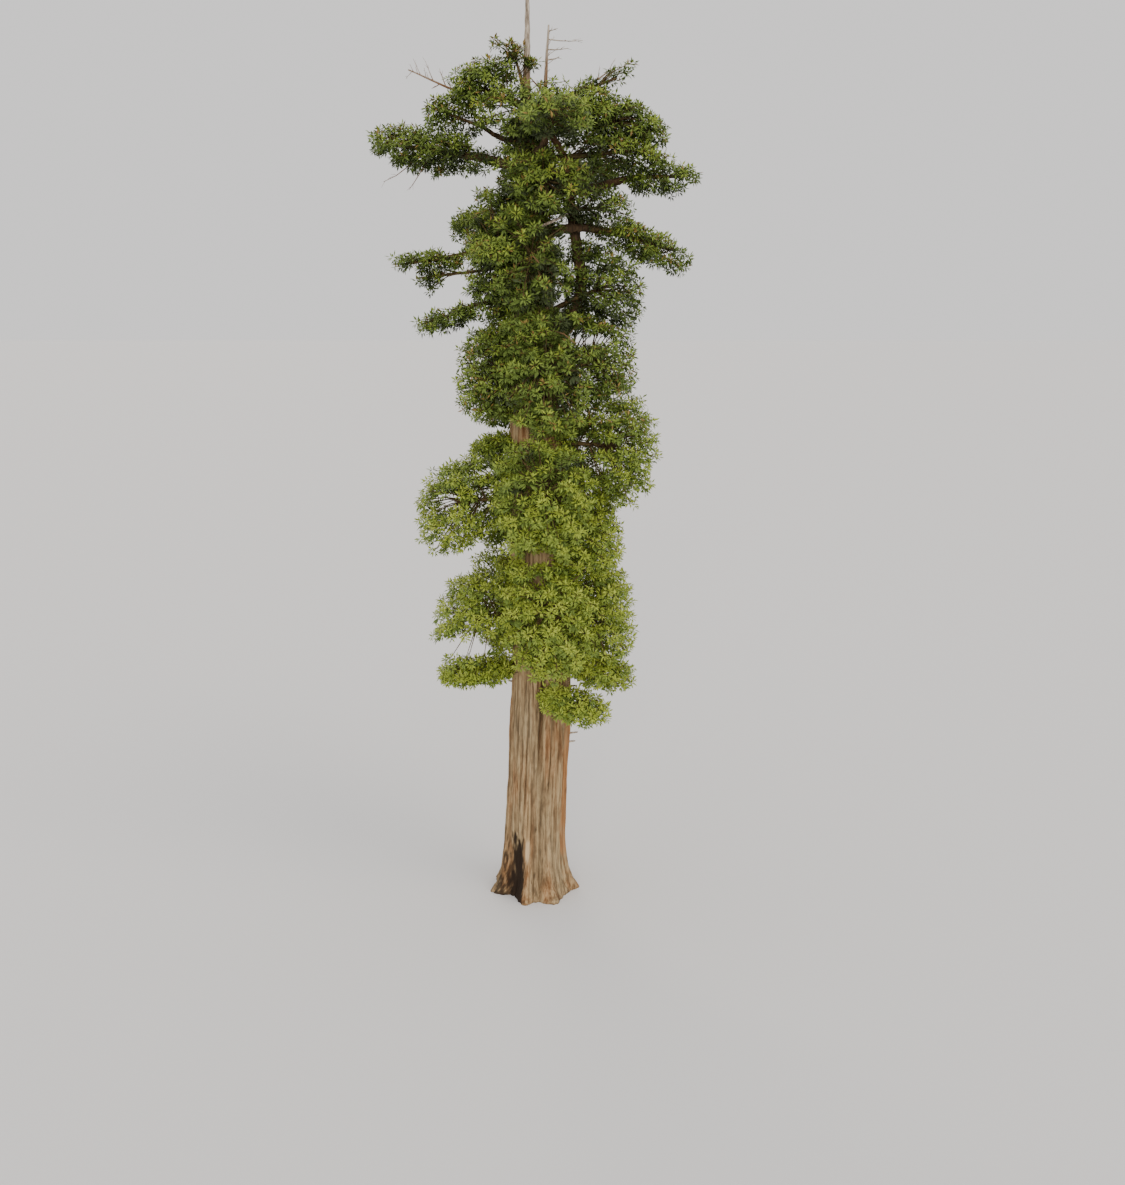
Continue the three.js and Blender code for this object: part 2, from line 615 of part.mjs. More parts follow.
// Every limb is cut clear of the trunk and of the limbs before it.
const trunkSeat = solidOf(trunkForm(SEAT_GAP));
const limbNames = Object.keys(LIMBS);
const limbSeats = Object.values(LIMBS).map((limb) => limbSolid(limb, SEAT_GAP));
const limbAirs = Object.values(LIMBS).map((limb) => limbSolid(limb, LEAF_GAP));
Object.values(LIMBS).forEach((limb, i) => {
  const solid = cutBy(limbSolid(limb), [trunkSeat, ...limbSeats.slice(0, i)]);
  root.add(meshOf(limbNames[i], solid, limb.slot));
});

// The stems come first, then the cores clear of limbs and stems, and then the sprays clear of everything.
const trunkAir = solidOf(trunkForm(CORE_GAP, AIR_SIDES, AIR_ROWS));
const masses = Object.entries(MASSES).map(([name, mass], index) => {
  const space = spaces[name];
  const curve = stemCurve(mass, space);
  const radius = stemRadius(mass, curve);
  const wood = mass.core ? [curve] : [curve, ...sideTwigs(space, curve, index)];
  const [stem, stemSeat, stemAir] = [0, SEAT_GAP, LEAF_GAP].map((extra) => woodSolid(wood, radius, extra));
  return { name, mass, index, space, wood, stem, stemSeat, stemAir };
});
masses.forEach((one, i) => {
  const earlier = masses.slice(0, i).map(({ stemSeat }) => stemSeat);
  one.stem = wholePiece(cutBy(one.stem, [trunkSeat, ...limbSeats, ...earlier]));
});
masses.forEach((one, i) => {
  const stems = masses.filter((other) => other !== one).map(({ stemAir }) => stemAir);
  one.airs = [...limbAirs.filter((_, k) => limbNames[k] !== one.mass.bough), ...stems];
  if (!one.mass.core) return;
  const cores = masses.slice(0, i).flatMap(({ coreSeat }) => coreSeat ?? []);
  one.core = cutBy(coreSolid(one.name, one.mass.core, one.index), [trunkAir, ...one.airs, ...cores]);
  one.coreSeat = coreSolid(one.name, one.mass.core * CORE_SPREAD, one.index);
});
masses.forEach((one) => {
  const { name, mass } = one;
  const cores = masses.filter((other) => other !== one).flatMap(({ core }) => core ?? []);
  const ownBough = mass.bough ? [limbSeats[limbNames.indexOf(mass.bough)]] : [];
  const fixed = [trunkAir, ...one.airs, ...cores, ...ownBough];
  let solid = one.core ? wholePiece(one.stem.add(one.core)) : one.stem;
  let left = mass.sprays ?? SPRAYS;
  for (let i = 0; i < SPRAY_PLACES && left > 0; i += 1) {
    const spray = spraySolid(one, i);
    const inside = cornersOf(spray).every((point) => owns(name, point, SPRAY_MARGIN));
    if (inside && !touches(spray, fixed)) {
      solid = solid.add(spray);
      left -= 1;
    }
  }
  root.add(meshOf(name, solid, "foliage"));
});

export default root;
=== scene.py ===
"""A very tall old coast redwood with twin dead tops, at two fifths of its real size.

Metres, +Z up. The origin is the middle of the flat cut at ground level, and +Y points away from the
viewer. The limbs and the masses of foliage follow the same tables and the same rule as the solids, and
are carried on here to bark, finer twigs and sprays of needles.
"""

import logging
import math
from collections.abc import Callable, Iterable
from dataclasses import dataclass, field, fields
from enum import Enum

import bpy
import numpy as np
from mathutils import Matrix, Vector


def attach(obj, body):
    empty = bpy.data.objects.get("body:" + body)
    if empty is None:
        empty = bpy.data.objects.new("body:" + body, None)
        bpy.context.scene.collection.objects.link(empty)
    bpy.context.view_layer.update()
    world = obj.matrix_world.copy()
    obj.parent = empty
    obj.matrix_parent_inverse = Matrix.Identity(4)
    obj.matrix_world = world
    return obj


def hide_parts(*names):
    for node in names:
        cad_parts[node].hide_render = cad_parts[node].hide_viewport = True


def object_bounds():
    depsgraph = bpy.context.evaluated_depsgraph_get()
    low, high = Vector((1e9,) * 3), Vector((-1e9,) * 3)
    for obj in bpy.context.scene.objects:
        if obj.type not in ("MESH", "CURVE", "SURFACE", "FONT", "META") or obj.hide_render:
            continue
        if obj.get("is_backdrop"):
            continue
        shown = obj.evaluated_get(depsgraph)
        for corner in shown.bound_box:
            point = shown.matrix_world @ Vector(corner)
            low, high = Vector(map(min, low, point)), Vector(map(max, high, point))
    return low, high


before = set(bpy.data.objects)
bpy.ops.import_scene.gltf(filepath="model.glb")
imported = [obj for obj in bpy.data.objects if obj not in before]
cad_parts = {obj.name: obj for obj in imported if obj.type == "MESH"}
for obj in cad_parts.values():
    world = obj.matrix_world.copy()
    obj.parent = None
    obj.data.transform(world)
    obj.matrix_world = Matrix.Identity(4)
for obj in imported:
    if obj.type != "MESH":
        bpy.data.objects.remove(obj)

log = logging.getLogger("redwood")

Array = np.ndarray
Place = Callable[[Array, Array, Array], Array]
Point = tuple[float, float, float]
Colour = tuple[float, float, float, float]
Socket = bpy.types.NodeSocket

GOLDEN_ANGLE = math.pi * (3 - math.sqrt(5))
ABOUT_A_TURN = 6.3
ROUNDNESS = 2.4  # of a mass's space: 2 is an ellipsoid, and more is nearer to a box
AREA_POWER = 1.6075  # of the mean that comes close to an ellipsoid's surface
DROOP = 0.3  # how steeply a mass on the trunk falls away outwards
MOST_TRIANGLES = 190_000  # in one piece
UP = np.array([0.0, 0.0, 1.0])
LEVEL = np.array([1.0, 1.0, 0.0])  # leaves only the level part of a vector
EYE: Point = (1.377, -48.5, 26.1)  # the viewer's place
CROWN_FRONT = -1.3  # the y in which windows and hollows are placed


# Numbers, curves and meshes


def scatter(key: Array | float) -> Array:
    """Numbers from 0 to 1 that look random, and are the same each time for the same key."""
    wide = np.sin(np.asarray(key, float) * 12.9898 + 4.1414) * 43758.5453
    return wide - np.floor(wide)


def unit(vectors: Array) -> Array:
    """Vectors of length 1 with the directions of those given, whose last side is x, y and z."""
    length = np.linalg.norm(vectors, axis=-1, keepdims=True)
    return vectors / np.maximum(length, 1e-9)


def lerp(first: Array | float, last: Array | float, share: Array | float) -> Array:
    """A blend of two values, from the first at share 0 to the last at share 1."""
    return first + (last - first) * share


def smooth(x: Array | float) -> Array:
    """An eased step from 0 to 1, which is clipped at its two ends."""
    t = np.clip(x, 0, 1)
    return t * t * (3 - 2 * t)


def rounded_length(away: Array) -> Array:
    """The length of vectors, measured so that those of length 1 end on a rounded box."""
    return (np.abs(away) ** ROUNDNESS).sum(axis=-1) ** (1 / ROUNDNESS)


def lumps(points: Array, size: float, key: float) -> Array:
    """A smooth random field with lumps of about one size.

    Args:
        points: places as an array whose last side is x, y and z.
        size: the width of a lump in metres.
        key: a number that picks the pattern.

    Returns:
        Values from about -1 to 1, one for each place.
    """
    x, y, z = np.moveaxis(points, -1, 0) * (math.pi / size)
    a = np.sin(x + 1.7 * key + 0.6 * np.sin(1.3 * y + key)) * np.sin(y + 2.3 * key + 0.5 * z)
    b = np.sin(1.1 * z + 3.1 * key + 0.7 * np.sin(0.9 * x)) * np.cos(0.8 * y - 0.6 * x + key)
    return 0.6 * a + 0.6 * b


def spiral(count: int, turn: float = 0.0) -> Array:
    """Directions spread evenly over a ball.

    Args:
        count: how many.
        turn: the bearing of the first, in radians.

    Returns:
        An array of unit vectors, count by 3.
    """
    step = np.arange(count)
    height = 1 - 2 * (step + 0.5) / count
    ring = np.sqrt(1 - height**2)
    bearing = step * GOLDEN_ANGLE + turn
    return np.stack([np.cos(bearing) * ring, np.sin(bearing) * ring, height], axis=1)


def level_ways(bearing: Array) -> Array:
    """Level unit vectors with the bearings given."""
    return np.stack([np.cos(bearing), np.sin(bearing), 0 * bearing], axis=-1)


def bowed(start: Array, bend: Array, end: Array, t: Array) -> Array:
    """Points t of the way along a line that leaves its start towards a bend and ends at its end."""
    return (1 - t) ** 2 * start + 2 * t * (1 - t) * bend + t**2 * end


@dataclass(frozen=True)
class Curve:
    """A smooth curve through a few points, with knots spaced by the root of their distance."""

    points: tuple[Point, ...]

    def at(self, share: Array | float) -> Array:
        """Points of the curve.

        Args:
            share: from 0 at its start to 1 at its end, one number or an array.

        Returns:
            The points, with x, y and z on the last side.
        """
        rows = np.array(self.points, float)
        ends = np.vstack([2 * rows[0] - rows[1], rows, 2 * rows[-1] - rows[-2]])
        along = np.clip(np.asarray(share, float), 0, 1) * (len(rows) - 1)
        part = np.minimum(along.astype(int), len(rows) - 2)
        w = (along - part)[..., None]
        p0, p1, p2, p3 = (ends[part + i] for i in range(4))
        d0, d1, d2 = (
            np.sqrt(np.linalg.norm(b - a, axis=-1, keepdims=True))
            for a, b in ((p0, p1), (p1, p2), (p2, p3))
        )
        m1 = ((p1 - p0) / d0 - (p2 - p0) / (d0 + d1) + (p2 - p1) / d1) * d1
        m2 = ((p2 - p1) / d1 - (p3 - p1) / (d1 + d2) + (p3 - p2) / d2) * d1
        c2 = -3 * p1 + 3 * p2 - 2 * m1 - m2
        c3 = 2 * p1 - 2 * p2 + m1 + m2
        return p1 + m1 * w + c2 * w**2 + c3 * w**3

    def along(self, share: Array | float) -> Array:
        """The directions of the curve at shares of its length, as unit vectors."""
        share = np.asarray(share, float)
        return unit(self.at(np.minimum(share + 0.01, 1)) - self.at(np.maximum(share - 0.01, 0)))

    def length(self) -> float:
        """The length of the curve in metres."""
        steps = self.at(np.linspace(0, 1, 40))
        return float(np.linalg.norm(np.diff(steps, axis=0), axis=1).sum())


@dataclass(frozen=True)
class Arc:
    """A curve that leaves its start towards a bend and ends at its end."""

    start: Array
    bend: Array
    end: Array

    def at(self, share: Array | float) -> Array:
        """Points of the arc, from its start at share 0 to its end at share 1."""
        return bowed(self.start, self.bend, self.end, np.asarray(share, float)[..., None])


def crossways(along: Array) -> tuple[Array, Array]:
    """Two directions square to each direction given.

    Args:
        along: unit vectors, with x, y and z on the last side.

    Returns:
        The level one and the one square to both.
    """
    steep = np.abs(along[..., 2:3]) > 0.95
    guide = np.where(steep, np.array([1.0, 0.0, 0.0]), UP)
    side = unit(np.cross(guide, along))
    return side, np.cross(along, side)


def squared(vectors: Array, along: Array) -> Array:
    """Unit vectors turned the least way from those given that makes them square to others."""
    return unit(vectors - (vectors * along).sum(axis=-1, keepdims=True) * along)


def deselect() -> None:
    """Deselects all objects, because an operator acts on all that is selected."""
    bpy.ops.object.select_all(action="DESELECT")


def pulled_tube(name: str, sides: int, rows: int, place: Place) -> bpy.types.Object:
    """A closed tube pulled up from a disc row by row, whose points are then put in place.

    Args:
        name: the new piece's name.
        sides: points round the tube.
        rows: rows along it.
        place: gives the points from their share of the length, their bearing and their share of the
            radius.

    Returns:
        The new piece.
    """
    deselect()
    bpy.ops.mesh.primitive_circle_add(vertices=sides, radius=1.0, fill_type="NGON")
    piece = bpy.context.active_object
    piece.name = piece.data.name = name
    bpy.ops.object.mode_set(mode="EDIT")
    for _ in range(rows):
        bpy.ops.mesh.extrude_region_move(TRANSFORM_OT_translate={"value": (0, 0, 1 / rows)})
    bpy.ops.mesh.select_all(action="SELECT")
    bpy.ops.mesh.normals_make_consistent(inside=False)
    bpy.ops.object.mode_set(mode="OBJECT")
    points = points_of(piece)
    share = np.round(points[:, 2] * rows) / rows
    bearing = np.arctan2(points[:, 1], points[:, 0])
    set_points(piece, place(share, bearing, np.hypot(points[:, 0], points[:, 1])))
    bpy.ops.object.shade_smooth()
    return piece


def points_of(piece: bpy.types.Object) -> Array:
    """The points of a piece's mesh.

    Args:
        piece: the piece.

    Returns:
        The points, count by 3.
    """
    points = np.zeros(3 * len(piece.data.vertices), np.float32)
    piece.data.vertices.foreach_get("co", points)
    return points.reshape(-1, 3).astype(float)


def set_points(piece: bpy.types.Object, points: Array) -> None:
    """Puts the points of a piece's mesh in place."""
    piece.data.vertices.foreach_set("co", points.astype(np.float32).ravel())
    piece.data.update()


def roughen(piece: bpy.types.Object, size: float, stretch: float, depth: float, detail: int) -> None:
    """Pushes a piece's surface in and out by a noise that is stretched upwards, as bark is.

    Args:
        piece: the piece.
        size: the width of a furrow in metres.
        stretch: how many times longer than wide it is.
        depth: from the deepest to the highest point, in metres.
        detail: how many finer layers the noise has.
    """
    noise = bpy.data.textures.new(f"{piece.name}_relief", "CLOUDS")
    noise.noise_scale = size
    noise.noise_depth = detail
    deselect()
    bpy.ops.object.empty_add(location=(0, 0, 0))
    ruler = bpy.context.active_object
    ruler.scale = (1, 1, stretch)
    bpy.context.view_layer.update()
    deselect()
    piece.select_set(True)
    bpy.context.view_layer.objects.active = piece
    relief = piece.modifiers.new("relief", "DISPLACE")
    relief.texture = noise
    relief.texture_coords = "OBJECT"
    relief.texture_coords_object = ruler
    relief.strength = depth
    relief.mid_level = 0.5
    bpy.ops.object.modifier_apply(modifier=relief.name)
    bpy.data.objects.remove(ruler)
    bpy.data.textures.remove(noise)


def mesh_piece(name: str, points: Array, triangles: Array) -> bpy.types.Object:
    """A piece from arrays.

    Args:
        name: its name.
        points: its points, count by 3.
        triangles: its triangles as the numbers of three points each.

    Returns:
        The new piece.
    """
    mesh = bpy.data.meshes.new(name)
    mesh.vertices.add(len(points))
    mesh.vertices.foreach_set("co", points.astype(np.float32).ravel())
    mesh.loops.add(3 * len(triangles))
    mesh.loops.foreach_set("vertex_index", triangles.astype(np.int32).ravel())
    mesh.polygons.add(len(triangles))
    mesh.polygons.foreach_set("loop_start", np.arange(0, 3 * len(triangles), 3, dtype=np.int32))
    mesh.update(calc_edges=True)
    mesh.validate()
    piece = bpy.data.objects.new(name, mesh)
    bpy.context.scene.collection.objects.link(piece)
    return piece


@dataclass
class Rods:
    """Many thin tapering rods, each bent once, gathered to be joined in one piece."""

    starts: list[Array] = field(default_factory=list)
    bends: list[Array] = field(default_factory=list)
    ends: list[Array] = field(default_factory=list)
    radii: list[Array] = field(default_factory=list)

    def add(self, start: Array, bend: Array, end: Array, first: Array | float, last: Array | float) -> None:
        """Adds rods.

        Args:
            start: where they start, count by 3.
            bend: the points they bend towards.
            end: where they end.
            first: the radius at the start.
            last: the radius at the end.
        """
        start, bend, end = (np.atleast_2d(x) for x in (start, bend, end))
        ones = np.ones(len(start))
        self.starts.append(start)
        self.bends.append(bend)
        self.ends.append(end)
        self.radii.append(np.stack([first * ones, last * ones], axis=1))

    def build(self, name: str, sides: int = 3, steps: int = 3) -> bpy.types.Object:
        """Joins the rods.

        Args:
            name: the new piece's name.
            sides: points round each rod.
            steps: parts along each rod.

        Returns:
            The new piece.
        """
        start, bend, end = (np.concatenate(x)[:, None] for x in (self.starts, self.bends, self.ends))
        radii = np.concatenate(self.radii)
        t = np.linspace(0, 1, steps + 1)[None, :, None]
        spine = bowed(start, bend, end, t)
        along = unit(np.gradient(spine, axis=1))
        side, over = crossways(along)
        radius = lerp(radii[:, :1], radii[:, 1:], t[:, :, 0])[..., None, None]
        bearing = (np.arange(sides) * 2 * math.pi / sides)[None, None, :, None]
        ring = np.cos(bearing) * side[:, :, None] + np.sin(bearing) * over[:, :, None]
        points = spine[:, :, None] + ring * radius
        count = len(points)
        first = np.arange(count)[:, None, None] * (steps + 1) * sides
        row = first + np.arange(steps)[None, :, None] * sides
        a = row + np.arange(sides)[None, None]
        b = row + (np.arange(sides)[None, None] + 1) % sides
        walls = np.stack([a, b, b + sides, a, b + sides, a + sides], axis=-1).reshape(-1, 3)
        fan = np.arange(1, sides - 1)
        tip = np.arange(count)[:, None] * (steps + 1) * sides + steps * sides
        caps = np.stack([tip + 0 * fan, tip + fan, tip + fan + 1], axis=-1).reshape(-1, 3)
        return mesh_piece(name, points.reshape(-1, 3), np.concatenate([walls, caps]))


# Finishes


def linear(shade: str) -> Colour:
    """A shade written as six sRGB hex digits, as linear light.

    Args:
        shade: such as "#a0825f".

    Returns:
        Red, green, blue and 1.
    """
    parts = (int(shade[i : i + 2], 16) / 255 for i in (1, 3, 5))
    light = [c / 12.92 if c <= 0.04045 else ((c + 0.055) / 1.055) ** 2.4 for c in parts]
    return (*light, 1.0)


def add_node(
    tree: bpy.types.NodeTree, kind: str, settings: dict | None = None, **feeds: object
) -> bpy.types.Node:
    """Adds a node with its settings and links.

    Args:
        tree: the material's node tree.
        kind: the node's type name.
        settings: its own properties, and under "ramp" the stops of a colour ramp by their place.
        **feeds: its inputs by name with _ for a blank, or in0, in1 by number: another node's output,
            or a value.

    Returns:
        The new node.
    """
    node = tree.nodes.new(kind)
    for key, value in (settings or {}).items():
        if key == "ramp":
            while len(node.color_ramp.elements) < len(value):
                node.color_ramp.elements.new(1.0)
            for element, (stop, shade) in zip(node.color_ramp.elements, value.items()):
                element.position = stop
                element.color = shade if isinstance(shade, tuple) else linear(shade)
        else:
            setattr(node, key, value)
    for key, value in feeds.items():
        number = key[2:] if key.startswith("in") else ""
        socket = node.inputs[int(number)] if number.isdigit() else node.inputs[key.replace("_", " ")]
        if isinstance(value, bpy.types.NodeSocket):
            tree.links.new(value, socket)
        else:
            socket.default_value = value
    return node


class Surface:
    """A material in the making: its shader and the nodes that feed it."""

    def __init__(self, name: str) -> None:
        """Starts a material with a plain surface.

        Args:
            name: its name.
        """
        self.material = bpy.data.materials.new(name)
        self.material.use_nodes = True
        self.tree = self.material.node_tree
        self.tree.nodes.clear()
        self.shader = add_node(self.tree, "ShaderNodeBsdfPrincipled")
        add_node(self.tree, "ShaderNodeOutputMaterial", Surface=self.shader.outputs["BSDF"])

    def place(self) -> Socket:
        """The place on the object in metres."""
        return add_node(self.tree, "ShaderNodeTexCoord").outputs["Object"]

    def drawn_out(self, place: Socket, scale: float, stretch: float) -> Socket:
        """The place for a pattern of a scale, so many times per metre, that is stretched upwards."""
        size = (scale, scale, scale / stretch)
        return add_node(self.tree, "ShaderNodeMapping", Vector=place, Scale=size).outputs[0]

    def noise(self, place: Socket, scale: float, detail: float, roughness: float = 0.5) -> Socket:
        """A soft random pattern with values about a half."""
        feeds = {"Vector": place, "Scale": scale, "Detail": detail, "Roughness": roughness}
        return add_node(self.tree, "ShaderNodeTexNoise", **feeds).outputs["Fac"]

    def maths(self, operation: str, *values: Socket | float) -> Socket:
        """The result of an operation on values."""
        feeds = {f"in{i}": value for i, value in enumerate(values)}
        return add_node(self.tree, "ShaderNodeMath", {"operation": operation}, **feeds).outputs[0]

    def ramp(self, share: Socket, stops: dict[float, str | Colour]) -> Socket:
        """Colours that follow a share through stops."""
        return add_node(self.tree, "ShaderNodeValToRGB", {"ramp": stops}, Fac=share).outputs["Color"]

    def mix(self, share: Socket | float, first: Socket, last: Socket | Colour) -> Socket:
        """A blend of two colours."""
        feeds = {"in0": share, "in6": first, "in7": last}
        return add_node(self.tree, "ShaderNodeMix", {"data_type": "RGBA"}, **feeds).outputs[2]

    def finish(
        self, colour: Socket, height: Socket, relief: tuple[float, float], roughness: float, gloss: float
    ) -> bpy.types.Material:
        """Joins the colour and the fine relief to the shader.

        Args:
            colour: the base colour.
            height: the height of the fine relief.
            relief: its strength, and its depth in metres.
            roughness: how matt the surface is.
            gloss: how much it shines.

        Returns:
            The material.
        """
        strength, depth = relief
        feeds = {"Height": height, "Strength": strength, "Distance": depth}
        normal = add_node(self.tree, "ShaderNodeBump", **feeds).outputs[0]
        self.tree.links.new(colour, self.shader.inputs["Base Color"])
        self.tree.links.new(normal, self.shader.inputs["Normal"])
        self.shader.inputs["Roughness"].default_value = roughness
        self.shader.inputs["Specular IOR Level"].default_value = gloss
        return self.material


@dataclass(frozen=True)
class FibrousBark:
    """Old redwood bark: soft, dull and stringy, split into long upright ridges with furrows between, dark
    partly as painted shade.

    It is matt all over, so only its colour and relief show, and it chars black where a fire has been.
    """

    # the darker fibre in the furrows, made darker still as painted shade
    furrow: str = "#483829"
    fibre: str = "#8c7557"
    ridge: str = "#bca680"
    weathered: str = "#9b8d70"
    orange: str = "#a47044"
    char: str = "#261e19"
    bare_wood: str = "#cbb491"
    ridge_mm: float = 80.0  # between furrows, which are drawn as coarse as they need to show
    strand_mm: float = 26.0  # between strands on a ridge
    plate_mm: float = 90.0  # between the breaks across a ridge
    stretch: float = 15.0  # how many times longer than wide ridges and strands are
    plate_stretch: float = 2.5
    patch_scale: float = 1.1  # of the broad patches of orange and grey, per metre
    patch_stretch: float = 5.0
    patch_share: float = 0.38  # how much of their shade shows
    warm_sunlit_share: float = 0.6  # how much of each mark's shade shows where it is strongest
    furrow_shade_share: float = 0.65
    char_share: float = 0.97

    def material(self, name: str = "fibrous redwood bark") -> bpy.types.Material:
        """The bark's material.

        Args:
            name: its name.

        Returns:
            The material.
        """
        surface = Surface(name)
        place = surface.place()
        ridges, strands, plates = (
            surface.noise(surface.drawn_out(place, 1000 / width, stretch), 0.5, detail, 0.6)
            for width, stretch, detail in (
                (self.ridge_mm, self.stretch, 5.0),
                (self.strand_mm, self.stretch, 3.0),
                (self.plate_mm, self.plate_stretch, 4.0),
            )
        )
        height = surface.maths("MULTIPLY_ADD", strands, 0.4, ridges)
        height = surface.maths("MULTIPLY_ADD", plates, 0.35, height)
        # partly painted shade: the relief's low places take the furrow's dark shade
        shades = surface.ramp(height, {0.72: self.furrow, 0.85: self.fibre, 1.0: self.ridge})
        patches = surface.noise(surface.drawn_out(place, self.patch_scale, self.patch_stretch), 1.0, 3.0)
        tints = surface.ramp(patches, {0.35: self.orange, 0.5: self.fibre, 0.66: self.weathered})
        colour = surface.mix(self.patch_share, shades, tints)
        # the first mark tints the flank where the key light falls orange as painted sunlight, and the
        # second darkens the furrows partly as painted shade
        for mark, shade, most in (
            ("red", self.orange, self.warm_sunlit_share),
            ("furrow", self.furrow, self.furrow_shade_share),
            ("char", self.char, self.char_share),
            ("bare", self.bare_wood, 1.0),
        ):
            drawn = add_node(surface.tree, "ShaderNodeAttribute", {"attribute_name": mark}).outputs["Fac"]
            colour = surface.mix(surface.maths("MULTIPLY", drawn, most), colour, linear(shade))
        return surface.finish(colour, height, relief=(0.7, 0.06), roughness=0.95, gloss=0.15)


@dataclass(frozen=True)
class SilveredWood:
    """Dead wood that has lost its bark: dry and checked, bleached to a silver grey by sun and rain.

    Further down, brown scraps of the old bark still cling to it.
    """

    check: str = "#5d5044"
    grain: str = "#9c9082"
    bleached: str = "#cfc6b8"
    scraps: str = "#75583f"
    scraps_end: float = 37.8  # the height in metres above which no bark is left
    scraps_fade: float = 1.1
    ragged: float = 1.6  # how far the scraps' end goes up and down with the grain
    grain_mm: float = 18.0
    stretch: float = 8.0  # how many times longer than wide the grain is

    def material(self, name: str = "silvered dead redwood") -> bpy.types.Material:
        """The dead wood's material.

        Args:
            name: its name.

        Returns:
            The material.
        """
        surface = Surface(name)
        place = surface.place()
        grain = surface.noise(surface.drawn_out(place, 1000 / self.grain_mm, self.stretch), 0.4, 4.0, 0.55)
        colour = surface.ramp(grain, {0.3: self.check, 0.48: self.grain, 0.7: self.bleached})
        height = add_node(surface.tree, "ShaderNodeSeparateXYZ", Vector=place).outputs["Z"]
        share = add_node(
            surface.tree,
            "ShaderNodeMapRange",
            Value=surface.maths("MULTIPLY_ADD", grain, self.ragged, height),
            From_Min=self.scraps_end,
            From_Max=self.scraps_end - self.scraps_fade,
        ).outputs[0]
        colour = surface.mix(share, colour, linear(self.scraps))
        return surface.finish(colour, grain, relief=(0.4, 0.01), roughness=0.85, gloss=0.25)


@dataclass(frozen=True)
class TwigBark:
    """Bark of living twigs: thin and scaly, brown where it is old and greenish at the ends, darkened as
    painted shade.
    """

    # painted shade as well as the bark's colour: both are darker, for twigs that sit in the crown's shade
    old: str = "#463727"
    young: str = "#67593a"
    scale_mm: float = 160.0

    def material(self) -> bpy.types.Material:
        """The twigs' material.

        Returns:
            The material.
        """
        surface = Surface("redwood twig bark")
        age = surface.noise(surface.place(), 1000 / self.scale_mm, 3.0)
        colour = surface.ramp(age, {0.38: self.old, 0.62: self.young})
        return surface.finish(colour, age, relief=(0.3, 0.01), roughness=0.9, gloss=0.2)


class Tone(Enum):
    """The sprays' shades from the darkest, painted shade, to the lightest, partly painted light, and of
    dead ones.
    """

    # painted shade: the darkest sprays, inside the crown, in its hollows and under its masses
    INNER = "#3a4527"
    DEEP = "#576a2c"
    GREEN = "#697e36"
    OLIVE = "#7d9139"
    YELLOW = "#91a23a"
    # partly painted light: the lightest sprays, on upper sides and in the middles of plumes
    TIP = "#9fae46"
    RUST = "#866f3a"


@dataclass(frozen=True)
class NeedleSpray:
    """Flat sprays of redwood needles: leathery, with a dull wax; upward-facing sprays are dealt lighter
    tones as painted light.

    From far off only their shade shows, so it is plain, with a faint mottle the size of a needle tuft.
    """

    tone: Tone
    mottle: float = 0.16
    tuft_mm: float = 90.0

    def material(self) -> bpy.types.Material:
        """The material of the sprays of this tone.

        Returns:
            The material.
        """
        surface = Surface(f"needle sprays {self.tone.name.lower()}")
        spots = surface.noise(surface.place(), 1000 / self.tuft_mm, 2.0)
        dark, light = (
            (*(min(1.0, c * (1 + way)) for c in linear(self.tone.value)[:3]), 1.0)
            for way in (-self.mottle, self.mottle)
        )
        colour = surface.ramp(spots, {0.38: dark, 0.62: light})
        return surface.finish(colour, spots, relief=(0.25, 0.01), roughness=0.62, gloss=0.3)


@dataclass(frozen=True)
class StudioFloor:
    """A plain pale matt floor."""

    shade: str = "#dfe0e2"

    def material(self) -> bpy.types.Material:
        """The floor's material.

        Returns:
            The material.
        """
        surface = Surface("pale studio floor")
        surface.shader.inputs["Base Color"].default_value = linear(self.shade)
        surface.shader.inputs["Roughness"].default_value = 0.95
        return surface.material


def dress(piece: bpy.types.Object, material: bpy.types.Material, slot: str, nodes: Iterable[str]) -> None:
    """Gives a piece its material and its body, and hides the solids that it stands for.

    Args:
        piece: the piece.
        material: its material.
        slot: the record's slot of its finish; not used.
        nodes: the names of the solids.
    """
    piece.data.materials.clear()
    piece.data.materials.append(material)
    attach(piece, "root")
    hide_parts(*nodes)
    log.info("%s: %d faces", piece.name, len(piece.data.polygons))


# The trunk


